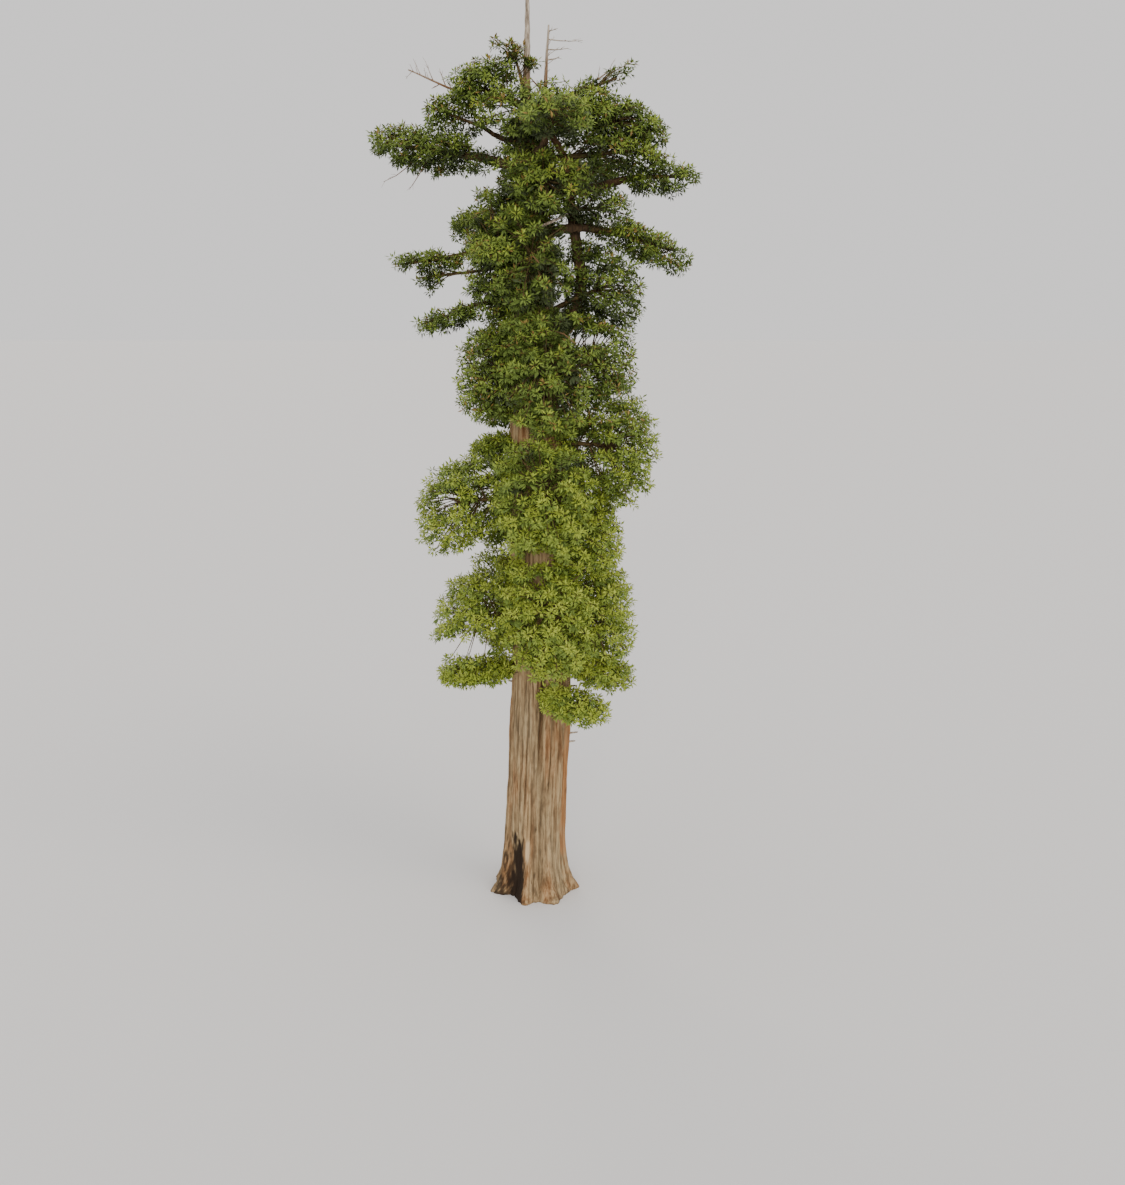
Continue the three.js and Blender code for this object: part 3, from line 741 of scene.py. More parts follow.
@dataclass
class Trunk:
    """The main trunk: its taper, sway, flare, buttresses, flutes and the hollow of an old fire."""

    radius: float = 1.38
    vanish_height: float = 37.5  # where its taper would end in a point
    taper_power: float = 3
    top: float = 35.5
    flare: float = 0.56
    flare_height: float = 0.9
    buttresses: int = 7
    buttress_share: float = 0.1
    flutes: int = 11
    flute_share: float = 0.03
    scar_bearing: float = -math.pi / 2 - 0.62
    scar_half_angle: float = 0.36
    scar_height: float = 3.3
    scar_depth: float = 0.42
    bare_height: float = 2.45  # of the bare wood at the scar's edge
    bare_half_height: float = 0.6
    red_bearing: float = -0.2  # of the flank where the key light falls, tinted orange as painted warm sunlight
    warm_sunlit_half_angle: float = 0.42
    warm_sunlit_height: float = 6.0
    warm_sunlit_half_height: float = 5.0
    sweep: tuple[Point, ...] = (
        (0, 0, 0),
        (12, 0.42, 0.08),
        (27, 0.1, -0.06),
        (34, -0.1, 0.04),
        (40, -0.03, 0),
    )
    sides: int = 270
    rows: int = 180
    ribs: int = 37  # finer columns of bark between the flutes
    rib_depth: float = 0.1
    groove_bearing: float = -math.pi / 2 + 0.1
    groove_height: float = 10.0
    groove_depth: float = 0.26
    groove_half_height: float = 4.5
    groove_half_angle: float = 0.07

    def middle(self, z: Array) -> Array:
        """The trunk's middle at each height.

        Args:
            z: heights.

        Returns:
            The points, with x, y and z on the last side.
        """
        z = np.asarray(z, float)
        heights, xs, ys = np.array(self.sweep, float).T
        row = np.clip(np.searchsorted(heights, z, side="right") - 1, 0, len(heights) - 2)
        ease = smooth((z - heights[row]) / (heights[row + 1] - heights[row]))
        return np.stack([lerp(xs[row], xs[row + 1], ease), lerp(ys[row], ys[row + 1], ease), z], axis=-1)

    def scar(self, z: Array, bearing: Array, shift: float = 0.0) -> tuple[Array, Array]:
        """How far a point lies across the fire scar and up it.

        Args:
            z: heights.
            bearing: bearings.
            shift: moves the scar round the trunk, in radians.

        Returns:
            Both as 1 in the middle of its foot to 0 outside it.
        """
        off = bearing - self.scar_bearing - shift
        off = np.arctan2(np.sin(off), np.cos(off))
        across = np.exp(-((off / self.scar_half_angle) ** 2))
        return across, np.maximum(0, 1 - z / self.scar_height) ** 0.7

    def reach(self, z: Array, bearing: Array) -> Array:
        """The trunk's radius.

        Args:
            z: heights.
            bearing: bearings.

        Returns:
            The radius for each.
        """
        z = np.maximum(z, 0)
        taper = self.radius * (1 - np.minimum(z / self.vanish_height, 1) ** self.taper_power)
        flare = self.flare * np.exp(-z / self.flare_height)
        low = np.exp(-z / (3 * self.flare_height))
        buttress = self.buttress_share * low * np.cos(self.buttresses * bearing + 0.7)
        flute = self.flute_share * np.cos(self.flutes * bearing + z / 6)
        across, up = self.scar(z, bearing)
        return (taper + flare) * (1 + buttress + flute) - self.scar_depth * across * up

    def furrows(self, z: Array, bearing: Array) -> Array:
        """How deep in a furrow between two ribs of bark a point lies.

        Args:
            z: heights.
            bearing: bearings.

        Returns:
            From 0 on a rib to 1 in the bottom of a deep furrow.
        """
        twist = bearing * self.ribs + 1.4 * np.sin(z / 3.1) + 2.6 * np.sin(3 * bearing + z / 9)
        twist = twist + 2.2 * np.sin(5 * bearing + 2) + np.sin(11 * bearing + z / 7)
        valley = (1 - np.abs(np.cos(twist / 2))) ** 2
        fade = lumps(np.stack([5 * np.cos(bearing), 5 * np.sin(bearing), z / 2.2], axis=-1), 1.1, 3.0)
        return valley * np.clip(0.55 + 0.75 * fade, 0.08, 1)

    def groove(self, z: Array, bearing: Array) -> Array:
        """How deep in the long groove down the front points lie.

        Args:
            z: their heights.
            bearing: their bearings.

        Returns:
            From 0 outside it to 1 at its deepest.
        """
        off = bearing - self.groove_bearing - 0.05 * np.sin(z / 1.7)
        level = np.exp(-(((z - self.groove_height) / self.groove_half_height) ** 2))
        return np.exp(-((off / self.groove_half_angle) ** 2)) * level

    def place(self, share: Array, bearing: Array, reach: Array) -> Array:
        """Puts the points of the trunk's tube in place.

        Args:
            share: the share of the height.
            bearing: the bearing.
            reach: the share of the radius.

        Returns:
            The points.
        """
        z = share**1.15 * self.top
        rib = -self.rib_depth * self.furrows(z, bearing)
        groove = self.groove_depth * self.groove(z, bearing)
        thin = np.minimum(1, self.reach(z, bearing) / self.radius)
        radius = self.reach(z, bearing) + (rib - groove) * thin
        return self.middle(z) + level_ways(bearing) * (radius * reach)[:, None]

    def build(self, bark: bpy.types.Material) -> None:
        """Builds the trunk in its bark, with its burnt hollow.

        Args:
            bark: the bark's material.
        """
        piece = pulled_tube("trunk_bark", self.sides, self.rows, self.place)
        roughen(piece, size=0.34, stretch=9, depth=0.2, detail=3)
        roughen(piece, size=0.11, stretch=18, depth=0.07, detail=2)
        points = points_of(piece)
        points[:, 2] = np.clip(points[:, 2], 0, self.top)
        points[points[:, 2] < 0.02, 2] = 0
        set_points(piece, points)
        self.mark(piece, points)
        dress(piece, bark, "bark", ["trunk"])

    def mark(self, piece: bpy.types.Object, points: Array) -> None:
        """Marks the furrows, partly painted shade, the flank of painted sunlight, the char and the bare
        wood at the scar's edge.

        Args:
            piece: the trunk.
            points: its points.
        """
        z = points[:, 2]
        away = points - self.middle(z)
        bearing = np.arctan2(away[:, 1], away[:, 0])
        across, up = self.scar(z, bearing)
        ragged = 0.14 * lumps(points * np.array([1, 1, 0.4]), 0.3, 2.0)
        ragged = ragged + 0.16 * lumps(points * np.array([1, 1, 0.3]), 0.12, 5.0)
        scorched, _ = self.scar(z, bearing, shift=-0.9 * self.scar_half_angle)
        char = smooth((across * up**0.5 + ragged - 0.26) / 0.3)
        char = np.maximum(char, 0.85 * smooth((0.8 * scorched * up**0.5 + 2.4 * ragged - 0.3) / 0.4))
        lip, _ = self.scar(z, bearing, shift=1.1 * self.scar_half_angle)
        strip = np.exp(-(((z - self.bare_height) / self.bare_half_height) ** 4))
        bare = smooth((lip**22 * strip + 0.9 * ragged - 0.35) / 0.3) * (1 - 0.8 * char)
        # partly painted shade: the furrows and the long groove are darkened in colour as well as cut in
        furrow = np.clip(1.3 * self.furrows(z, bearing) + self.groove(z, bearing), 0, 1)
        # painted sunlight: an orange tint on the flank where the key light falls, ragged at its edge
        side = np.exp(-(((bearing - self.red_bearing) / self.warm_sunlit_half_angle) ** 2))
        side = side * np.exp(-(((z - self.warm_sunlit_height) / self.warm_sunlit_half_height) ** 4))
        red = smooth((side + 1.6 * ragged - 0.3) / 0.5)
        for name, values in (("char", char), ("bare", bare), ("furrow", furrow), ("red", red)):
            layer = piece.data.attributes.new(name, "FLOAT", "POINT")
            layer.data.foreach_set("value", values.astype(np.float32))


@dataclass
class Stubs:
    """Short dead stubs that stand out of the trunk's bark: height, bearing and length of each."""

    rows: tuple[Point, ...] = (
        (7.55, 0, 0.42),
        (7.1, 0.05, 0.34),
        (10.05, math.pi - 0.1, 0.22),
        (9.95, -0.2, 0.3),
    )
    root: float = 0.2
    radii: tuple[float, float] = (0.06, 0.03)

    def build(self, trunk: Trunk, wood: bpy.types.Material) -> None:
        """Builds the stubs.

        Args:
            trunk: the trunk that they stand on.
            wood: the dead wood's material.
        """
        for i, (z, bearing, length) in enumerate(self.rows):
            out = np.array([math.cos(bearing), math.sin(bearing), 0.15])
            middle, reach = trunk.middle(z), float(trunk.reach(z, bearing))
            foot, tip = middle + out * (reach - self.root), middle + out * (reach + length)
            curve = Curve((tuple(foot), tuple(lerp(foot, tip, 0.6) + 0.01 * UP), tuple(tip)))
            piece = pulled_tube(f"dead_stub_{i + 1}", 8, 8, limb_place(curve, self.radii, 0.25, i))
            dress(piece, wood, "dead_wood", ["trunk"])


def limb_place(curve: Curve, radii: tuple[float, float], knobs: float, key: float) -> Place:
    """How the points of a limb's tube are put in place.

    Args:
        curve: the limb's middle line.
        radii: the radius at its start and at its end.
        knobs: how knobbly it is, as a share of its radius.
        key: a number that picks the pattern of the knobs.

    Returns:
        The function that puts the points in place.
    """

    def place(share: Array, bearing: Array, reach: Array) -> Array:
        """Puts the points in place.

        Args:
            share: their shares of the length.
            bearing: their bearings.
            reach: their shares of the radius.

        Returns:
            The points.
        """
        along = curve.along(share)
        side, over = crossways(along)
        radius = lerp(radii[0], radii[1], share)
        swell = 1 + knobs * (
            0.5 * np.sin(17 * share + key) * np.cos(bearing + 2 * key)
            + 0.5 * np.sin(41 * share + 3 * bearing + key)
        )
        wave = (radius * swell * reach)[:, None]
        return curve.at(share) + wave * (np.cos(bearing)[:, None] * side + np.sin(bearing)[:, None] * over)

    return place


# The limbs


class Wood(Enum):
    """What a limb is covered with."""

    BARK = "bark"
    DEAD = "dead wood with scraps of bark"
    BLEACHED = "bleached wood"

    def slot(self) -> str:
        """The record's slot of this finish."""
        return "bark" if self is Wood.BARK else "dead_wood"


@dataclass
class Limb:
    """A bough, second stem or dead top that leaves the trunk and tapers to its end."""

    path: tuple[Point, ...]
    radii: tuple[float, float]
    wood: Wood = Wood.BARK
    twigs: tuple[tuple[float, Point], ...] = ()  # where along the limb each leaves, and where it ends
    sprigs: int = 0  # finer dead twigs
    sprig_length: float = 0.4
    sides: int = 14
    row_length: float = 0.1
    least_rows: int = 12
    bark_knobs: float = 0.16  # how knobbly a limb is, as a share of its radius
    wood_knobs: float = 0.1

    def curve(self) -> Curve:
        """The limb's middle line."""
        return Curve(self.path)

    def build(self, name: str, material: bpy.types.Material, key: int) -> None:
        """Builds the limb.

        Args:
            name: the name of its solid.
            material: its material.
            key: a number that picks the pattern of its knobs.
        """
        curve = self.curve()
        rows = max(self.least_rows, round(curve.length() / self.row_length))
        knobs = self.bark_knobs if self.wood is Wood.BARK else self.wood_knobs
        piece = pulled_tube(f"{name}_limb", self.sides, rows, limb_place(curve, self.radii, knobs, key))
        roughen(piece, size=0.1, stretch=1.5, depth=0.3 * self.radii[1], detail=1)
        dress(piece, material, self.wood.slot(), [name])

    def bare_twigs(self, rods: Rods, key: int) -> None:
        """Adds the limb's dead twigs and the finer ones on them.

        Args:
            rods: gathers them.
            key: a number that picks the pattern.
        """
        curve = self.curve()
        for i, (share, end) in enumerate(self.twigs):
            foot, tip = curve.at(share), np.array(end, float)
            sag = -0.06 * np.linalg.norm(tip - foot) * UP
            radius = 0.6 * float(lerp(self.radii[0], self.radii[1], share))
            rods.add(foot, lerp(foot, tip, 0.5) + sag, tip, radius, 0.3 * radius)
            self.fork(rods, foot, tip, radius, 10 * key + i)
        for i in range(self.sprigs):
            draw = scatter(100 * key + 7 * i + np.arange(5))
            share = 0.35 + 0.63 * draw[0]
            foot = curve.at(share)
            side, over = crossways(curve.along(share))
            turn = 2 * math.pi * draw[1]
            out = np.cos(turn) * side + np.abs(np.sin(turn)) * over + 0.7 * curve.along(share)
            tip = foot + unit(out) * self.sprig_length * (0.4 + 0.8 * draw[2])
            bend = lerp(foot, tip, 0.5) - 0.04 * UP
            rods.add(foot, bend, tip, 0.016, 0.006)
            self.fork(rods, foot, tip, 0.014, 1000 * key + i)

    @staticmethod
    def fork(rods: Rods, foot: Array, tip: Array, radius: float, key: int) -> None:
        """Adds two or three finer twigs to a dead twig.

        Args:
            rods: gathers them.
            foot: where the twig starts.
            tip: where it ends.
            radius: its radius.
            key: a number that picks the pattern.
        """
        reach = np.linalg.norm(tip - foot)
        for i in range(3):
            draw = scatter(13 * key + 5 * i + np.arange(4))
            start = lerp(foot, tip, 0.45 + 0.5 * draw[0])
            away = unit(draw[1:4] - 0.5 + 0.8 * unit(tip - foot))
            end = start + away * reach * (0.15 + 0.2 * draw[0])
            rods.add(start, lerp(start, end, 0.5) + 0.01 * UP, end, 0.4 * radius, 0.004)


@dataclass
class Snags:
    """Bare twigs that hang out of the foliage, each with its mass, foot, bend, tip and radius."""

    rows: tuple[tuple[str, Point, Point, Point, float], ...] = (
        ("long_left", (-4.7, 0.05, 33.1), (-5.2, -0.1, 32.4), (-6.05, -0.15, 32.1), 0.03),
        ("long_left", (-4.2, 0.0, 33.0), (-4.6, -0.1, 32.3), (-5.0, -0.1, 31.8), 0.03),
        ("high_front", (0.0, -1.2, 28.7), (0.05, -2.7, 29.3), (0.45, -3.1, 28.7), 0.055),
        ("upper_front", (0.6, -1.5, 26.0), (1.2, -3.2, 26.3), (1.9, -3.5, 25.6), 0.04),
    )

    def build(self, rods: Rods) -> None:
        """Adds the twigs and the finer ones on them.

        Args:
            rods: gathers them.
        """
        for key, (_, foot, bend, tip, radius) in enumerate(self.rows):
            foot, bend, tip = (np.array(point, float) for point in (foot, bend, tip))
            rods.add(foot, bend, tip, radius, 0.3 * radius)
            Limb.fork(rods, lerp(foot, bend, 0.6), tip, 0.5 * radius, 700 + key)


LIMBS: dict[str, Limb] = {
    "dead_spire": Limb(
        ((-0.1, 0.04, 35.5), (-0.05, 0.02, 37.8), (-0.03, 0, 39.98)), (0.17, 0.055), Wood.DEAD
    ),
    "second_stem": Limb(((0.2, 0.05, 25.4), (2.05, 0.15, 27.3), (1.7, 0.1, 31.3)), (0.34, 0.2)),
    "second_top": Limb(
        ((1.7, 0.1, 31.3), (1.5, 0.08, 32.9), (0.68, 0.05, 34.5), (0.7, 0, 36.2), (0.82, 0, 38.1)),
        (0.2, 0.035),
        Wood.DEAD,
        (
            (0.93, (2.21, 0.15, 37.55)),
            (0.97, (1.2, -0.1, 37.95)),
            (0.88, (1.6, -0.35, 37.15)),
            (0.83, (1.25, 0.3, 36.95)),
            (0.66, (0.05, 0.3, 36.2)),
        ),
        sprigs=24,
    ),
    "dead_left_branch": Limb(
        ((-0.1, 0.1, 35.2), (-2.4, 0.3, 35.5), (-4.95, 0.35, 36.5)),
        (0.09, 0.025),
        Wood.DEAD,
        (
            (0.97, (-5.02, 0.3, 36.2)),
            (0.9, (-4.75, 0.5, 36.95)),
            (0.8, (-4.2, 0.1, 36.75)),
            (0.7, (-3.7, 0.6, 36.6)),
            (0.75, (-4.0, 0.2, 35.75)),
        ),
        sprigs=10,
        sprig_length=0.35,
    ),
    "dead_right_branch": Limb(
        ((0.1, 0.1, 34.9), (1.9, 0.5, 35.6), (3.45, 0.6, 36.6)),
        (0.08, 0.022),
        Wood.DEAD,
        ((0.92, (3.55, 0.4, 36.95)), (0.8, (2.9, 0.9, 36.65)), (0.7, (2.75, 0.25, 35.9))),
        sprigs=8,
        sprig_length=0.35,
    ),
    "bare_limb": Limb(((0, 0, 30.1), (0.65, -1.15, 30.3), (1.6, -1.0, 30.75)), (0.1, 0.04), Wood.BLEACHED),
    "long_left_bough": Limb(((0, 0, 32.4), (-1.0, 0.02, 32.8), (-2.2, 0, 33.1)), (0.24, 0.17)),
    "left_hand_bough": Limb(((-0.05, 0.05, 33.9), (-1.0, 0.2, 33.8), (-1.95, 0.25, 34.3)), (0.14, 0.08)),
    "left_middle_bough": Limb(((0, 0, 29.7), (-1.4, 0.1, 29.65), (-2.9, 0.05, 29.2)), (0.17, 0.1)),
    "left_low_bough": Limb(((0, 0, 26.9), (-1.2, -0.1, 27.25), (-2.45, -0.2, 27.15)), (0.16, 0.09)),
    "right_long_bough": Limb(((0.1, 0, 31.7), (2.3, 0.75, 31.9), (4.3, 0.1, 32.3)), (0.24, 0.13)),
    "right_middle_bough": Limb(((0.1, 0, 29.7), (1.2, -0.55, 30.15), (2.5, -0.2, 30.3)), (0.24, 0.17)),
    "front_bough": Limb(((0, 0, 33.3), (0.5, -1.2, 33.2), (0.9, -2.5, 33.9)), (0.2, 0.12)),
    "back_left_bough": Limb(((0, 0, 30.6), (-0.8, 1.5, 30.9), (-1.7, 3.1, 30.8)), (0.22, 0.13)),
    "back_right_bough": Limb(((0, 0, 31.9), (0.9, 1.5, 32.4), (1.9, 2.9, 32.7)), (0.22, 0.13)),
}


# The masses of foliage

LARGE_HALF = 0.85  # the least half size of a mass whose plumes have their full size
LEAST_PLUME = 0.25  # the smallest plumes' share of the full size
SPARSE_PLUME = 0.8  # how much smaller plumes are where a mass is all gaps


@dataclass
class Mass:
    """A mass of foliage: a rounded space that its twigs and sprays grow to fill from one stem."""

    middle: Point
    half: Point  # half its width, depth and height
    start: float | str  # the height at which its stem leaves the trunk, or its bough
    density: float = 1.0
    droop: float | None = None  # how steeply it falls away outwards, where that isn't the usual
    gaps: float = 0.0  # the share of its plumes that are missing in patches, which sky shows through
    light: float = 0.0  # how many tones lighter or darker than the rest it is: painted light on the whole mass above 0, painted shade below 0

    def outward(self) -> Array:
        """The level direction from the trunk to the mass."""
        return unit(np.array(self.middle) * LEVEL)

    def slope(self) -> Array:
        """How much lower a point of the mass hangs for each metre outwards."""
        usual = 0.0 if isinstance(self.start, str) else DROOP
        return (usual if self.droop is None else self.droop) * self.outward()

    def depth(self, points: Array) -> Array:
        """How deep points lie: 0 in the middle of the space and 1 on its edge.

        Args:
            points: places, with x, y and z on the last side.

        Returns:
            The depth of each.
        """
        away = points - np.array(self.middle)
        away = away + (away @ self.slope())[..., None] * UP
        return rounded_length(away / np.array(self.half))

    def edge(self, directions: Array, share: Array) -> Array:
        """Points out from the middle in the directions given, by a share of the way to the edge."""
        out = directions * np.array(self.half) * (share / rounded_length(directions))[..., None]
        return np.array(self.middle) + out - (out @ self.slope())[..., None] * UP

    def area(self) -> float:
        """The surface of the space.

        Returns:
            Its area in square metres, which is close to an ellipsoid's.
        """
        a, b, c = self.half
        mean = ((a * b) ** AREA_POWER + (a * c) ** AREA_POWER + (b * c) ** AREA_POWER) / 3
        return 4 * math.pi * mean ** (1 / AREA_POWER)

    def fall(self) -> float:
        """How steeply its plumes fall away outwards."""
        return DROOP if self.droop is None else self.droop

    def plume_size(self) -> float:
        """The size of its plumes, as a share of that on a large mass."""
        full = min(1.0, max(LEAST_PLUME, min(self.half) / LARGE_HALF))
        return full * (1 - SPARSE_PLUME * self.gaps)

    def stem(self, trunk: Trunk) -> Arc:
        """The middle line of the stem, from the trunk or the bough's tip to the far part of the space.

        Args:
            trunk: the trunk.

        Returns:
            The line.
        """
        middle = np.array(self.middle)
        if isinstance(self.start, str):
            curve = LIMBS[self.start].curve()
            start = curve.at(0.97)
            bend = start + curve.along(1.0) * 0.5 * np.linalg.norm(middle - start)
            return Arc(start, lerp(bend, middle, 0.5), lerp(start, middle, 1.72))
        start = trunk.middle(self.start)
        far = middle + 0.12 * (middle - start) * LEVEL
        bend = lerp(start, far, 0.5)
        bend[2] = 0.35 * start[2] + 0.65 * far[2]
        return Arc(start, bend, far)

    def stem_radius(self, stem: Arc) -> float:
        """The radius of the stem at its start.

        Args:
            stem: its middle line.

        Returns:
            The radius in metres.
        """
        if isinstance(self.start, str):
            return LIMBS[self.start].radii[1]
        slim = min(1.0, 0.2 + 0.6 * max(self.half))
        return slim * (0.075 + 0.02 * float(np.linalg.norm(stem.end - stem.start)))

    def hugs_trunk(self) -> bool:
        """Whether its inner side lies on the trunk, so that nothing shows there."""
        return not isinstance(self.start, str) and min(self.half) > 1

    def below(self, points: Array) -> Array:
        """How far down in the mass points lie, from 0 in its upper half to 1 at its underside."""
        away = points - np.array(self.middle)
        return smooth(-(away[..., 2] + away @ self.slope()) / self.half[2] + 0.1)


MASSES: dict[str, Mass] = {
    "lower_left": Mass((-2.6, -0.5, 13.5), (1.85, 2.0, 2.4), 13.8, droop=0.45),
    "lower_front": Mass((0.8, -2.3, 14.3), (2.1, 1.7, 2.9), 14.6),
    "lower_right": Mass((2.8, -0.3, 13.9), (1.85, 2.1, 2.85), 14.1),
    "lower_back_left": Mass((-1.2, 2.5, 13.8), (2.0, 1.8, 2.9), 13.9),
    "lower_back_right": Mass((2.1, 2.6, 14.1), (2.0, 1.8, 2.9), 14.3),
    "low_left_lobe": Mass((-2.6, -0.7, 11.1), (1.7, 1.3, 0.55), 11.3, 1.4, droop=0.1),
    "low_right_lobe": Mass((3.1, -0.8, 11.2), (1.5, 1.4, 0.75), 11.4, 1.3, droop=0.2),
    "low_front_spray": Mass((1.95, -1.95, 9.85), (1.6, 0.8, 0.65), 10.1, 1.5),
    "middle_left": Mass((-3.0, -0.4, 18.8), (2.05, 2.0, 2.1), 18.9),
    "middle_front": Mass((0.6, -2.25, 19.3), (2.2, 1.8, 3.0), 19.5),
    "middle_right": Mass((3.5, -0.3, 21.2), (2.0, 2.1, 2.6), 21.4, droop=0.12),
    "middle_right_low": Mass((2.45, -0.5, 17.4), (1.65, 1.9, 1.9), 17.5),
    "middle_back_left": Mass((-1.5, 2.4, 19.0), (2.0, 1.8, 2.9), 19.1),
    "middle_back_right": Mass((2.1, 2.5, 19.5), (2.0, 1.8, 3.0), 19.7),
    "left_finger": Mass((-1.75, -0.4, 21.35), (1.0, 0.6, 0.4), 21.5, 1.1),
    "upper_left": Mass((-1.5, -0.3, 24.5), (1.7, 1.8, 2.2), 24.7),
    "upper_front": Mass((0.75, -1.95, 24.6), (1.95, 1.6, 3.0), 24.9),
    "upper_right": Mass((2.85, -0.2, 25.0), (1.7, 1.9, 2.3), 23.7, light=-0.3),
    "upper_back_left": Mass((-0.9, 2.1, 24.2), (1.8, 1.6, 2.7), 24.6),
    "upper_back_right": Mass((1.9, 2.2, 24.9), (1.8, 1.6, 2.6), 24.2),
    "high_left": Mass((-1.4, -0.2, 29.2), (1.4, 1.6, 2.9), 28.6),
    "high_front": Mass((0.1, -1.65, 29.1), (1.65, 1.3, 2.7), 29.1),
    "high_right": Mass((3.1, -0.2, 28.0), (1.7, 1.6, 1.9), 26.5, gaps=0.08, light=-0.7),
    "high_back": Mass((-0.2, 1.9, 28.9), (1.5, 1.5, 2.4), 29.2),
    "front_left_arm": Mass((-1.4, -2.2, 29.3), (1.2, 0.65, 0.45), 29.6, 0.8, light=0.6),
    "shoulder_front": Mass((0.65, -1.45, 32.0), (2.0, 1.2, 1.6), 32.1, light=0.4),
    "shoulder_back": Mass((0.4, 1.75, 33.2), (2.0, 1.4, 1.7), 33.0),
    "top_centre": Mass((0.1, -0.75, 34.85), (2.5, 1.3, 1.15), 34.4, 1.2, light=0.1),
    "top_left": Mass((-2.1, 0.1, 35.9), (1.5, 1.2, 0.9), 34.9, 1.2, gaps=0.06, light=0.1),
    "top_right": Mass((3.5, -0.2, 34.55), (2.2, 1.4, 0.95), 33.8, 1.35, gaps=0.12),
    "top_right_tuft": Mass((3.2, 0.15, 36.15), (1.1, 0.4, 0.42), 34.6, 0.55, droop=-0.35, gaps=0.3),
    "crossing_tuft": Mass((-0.55, -0.3, 37.05), (1.1, 0.3, 0.4), 35.1, 0.8, droop=-0.4, gaps=0.35),
    "left_hand": Mass((-3.15, 0.25, 34.7), (1.35, 0.8, 0.85), "left_hand_bough", 1.1, gaps=0.4),
    "long_left": Mass((-4.1, 0, 33.35), (2.7, 1.2, 0.85), "long_left_bough", 1.5, droop=-0.15, gaps=0.3),
    "left_arm": Mass((-4.25, 0, 29.0), (1.6, 0.6, 0.38), "left_middle_bough", 1.1, gaps=0.25),
    "left_hanging_tuft": Mass((-4.3, 0, 28.25), (0.55, 0.4, 0.62), 28.9, 0.8, gaps=0.2, light=-0.5),
    "left_low_arm": Mass(
        (-3.5, -0.2, 26.65), (1.4, 0.7, 0.45), "left_low_bough", 1.1, droop=0.25, gaps=0.25
    ),
    "right_upper": Mass((4.0, -0.3, 33.3), (2.0, 1.3, 0.75), 32.9, 1.3, gaps=0.3),
    "right_long": Mass((5.5, 0.05, 32.3), (1.55, 0.9, 0.65), "right_long_bough", 1.1, gaps=0.15),
    "right_inner": Mass((3.0, -0.3, 31.1), (1.5, 1.2, 0.95), 30.8, 0.9, gaps=0.35, light=-0.8),
    "right_arm": Mass(
        (4.6, -0.1, 29.75), (2.3, 1.0, 0.8), "right_middle_bough", 1.2, droop=0.42, gaps=0.15, light=0.3
    ),
    "front_arm": Mass((1.1, -3.7, 34.1), (1.4, 1.6, 0.75), "front_bough", 0.85, gaps=0.2, light=0.1),
    "back_left_arm": Mass((-2.3, 4.4, 30.8), (1.5, 1.75, 0.8), "back_left_bough", 0.9, gaps=0.2),
    "back_right_arm": Mass((2.7, 4.2, 33.0), (1.5, 1.75, 0.8), "back_right_bough", 0.9, gaps=0.2),
}


MASS_NAMES = list(MASSES)

# A spray's foot, the bend and the tip of its rib and its two shoulders, as shares of its length along
# the rib, across it and up
SPRAY_OUTLINE = np.array(
    [(0, 0, 0), (0.55, 0, 0.05), (1, 0, -0.1), (0.48, 0.17, -0.04), (0.48, -0.17, -0.04)]
)
SPRAY_FACES = np.array([(1, 3, 0), (1, 2, 3), (0, 4, 1), (4, 2, 1)])


@dataclass
class Rows:
    """Arrays that have one row for each of many like things."""

    def picked(self, chosen: Array) -> "Rows":
        """The rows chosen, by number or by True and False."""
        return type(self)(*(getattr(self, row.name)[chosen] for row in fields(self)))

    @classmethod
    def joined(cls, parts: list["Rows"]) -> "Rows":
        """The rows of all parts, one part after another."""
        return cls(*(np.concatenate([getattr(part, row.name) for part in parts]) for row in fields(cls)))


@dataclass
class Clumps(Rows):
    """Clumps of sprays on the plumes."""

    head: Array
    axis: Array  # the direction out of the crown
    sweep: Array  # the direction in which the plume draws the clump out
    tone: Array
    mass: Array  # the number of the mass that carries it


@dataclass
class Sprays(Rows):
    """Flat sprays of needles."""

    foot: Array
    along: Array
    normal: Array  # the direction of the upper side
    length: Array
    tone: Array  # from 0, the darkest, to 5, the lightest
    mass: Array

    def build(self, name: str) -> bpy.types.Object:
        """Joins the sprays in one piece.

        Args:
            name: the new piece's name.

        Returns:
            The new piece.
        """
        ways = (self.along, np.cross(self.normal, self.along), self.normal)
        shape = sum(SPRAY_OUTLINE[None, :, i : i + 1] * way[:, None] for i, way in enumerate(ways))
        points = self.foot[:, None] + self.length[:, None, None] * shape
        first = len(SPRAY_OUTLINE) * np.arange(len(self.foot))[:, None, None]
        return mesh_piece(name, points.reshape(-1, 3), (SPRAY_FACES[None] + first).reshape(-1, 3))


@dataclass
class Plumes:
    """Plumes of one mass, each a drooping fan at the end of a branch."""

    name: str  # of the mass
    tips: Array  # the branches' tips, which are the plumes' middles
    along: Array
    across: Array
    over: Array
    size: Array
    number: Array  # picks each one's part of chance

    def frames(self) -> Iterable[Array]:
        """The tips and the three directions of each plume, shaped to be shared by all that it carries."""
        return (part[:, None] for part in (self.tips, self.along, self.across, self.over))


@dataclass(frozen=True)
class Layer:
    """A layer of plumes in a mass."""

    area: float  # of the mass's surface for each plume
    nearest: float  # where they stand, as shares of the way from the middle to the edge
    furthest: float


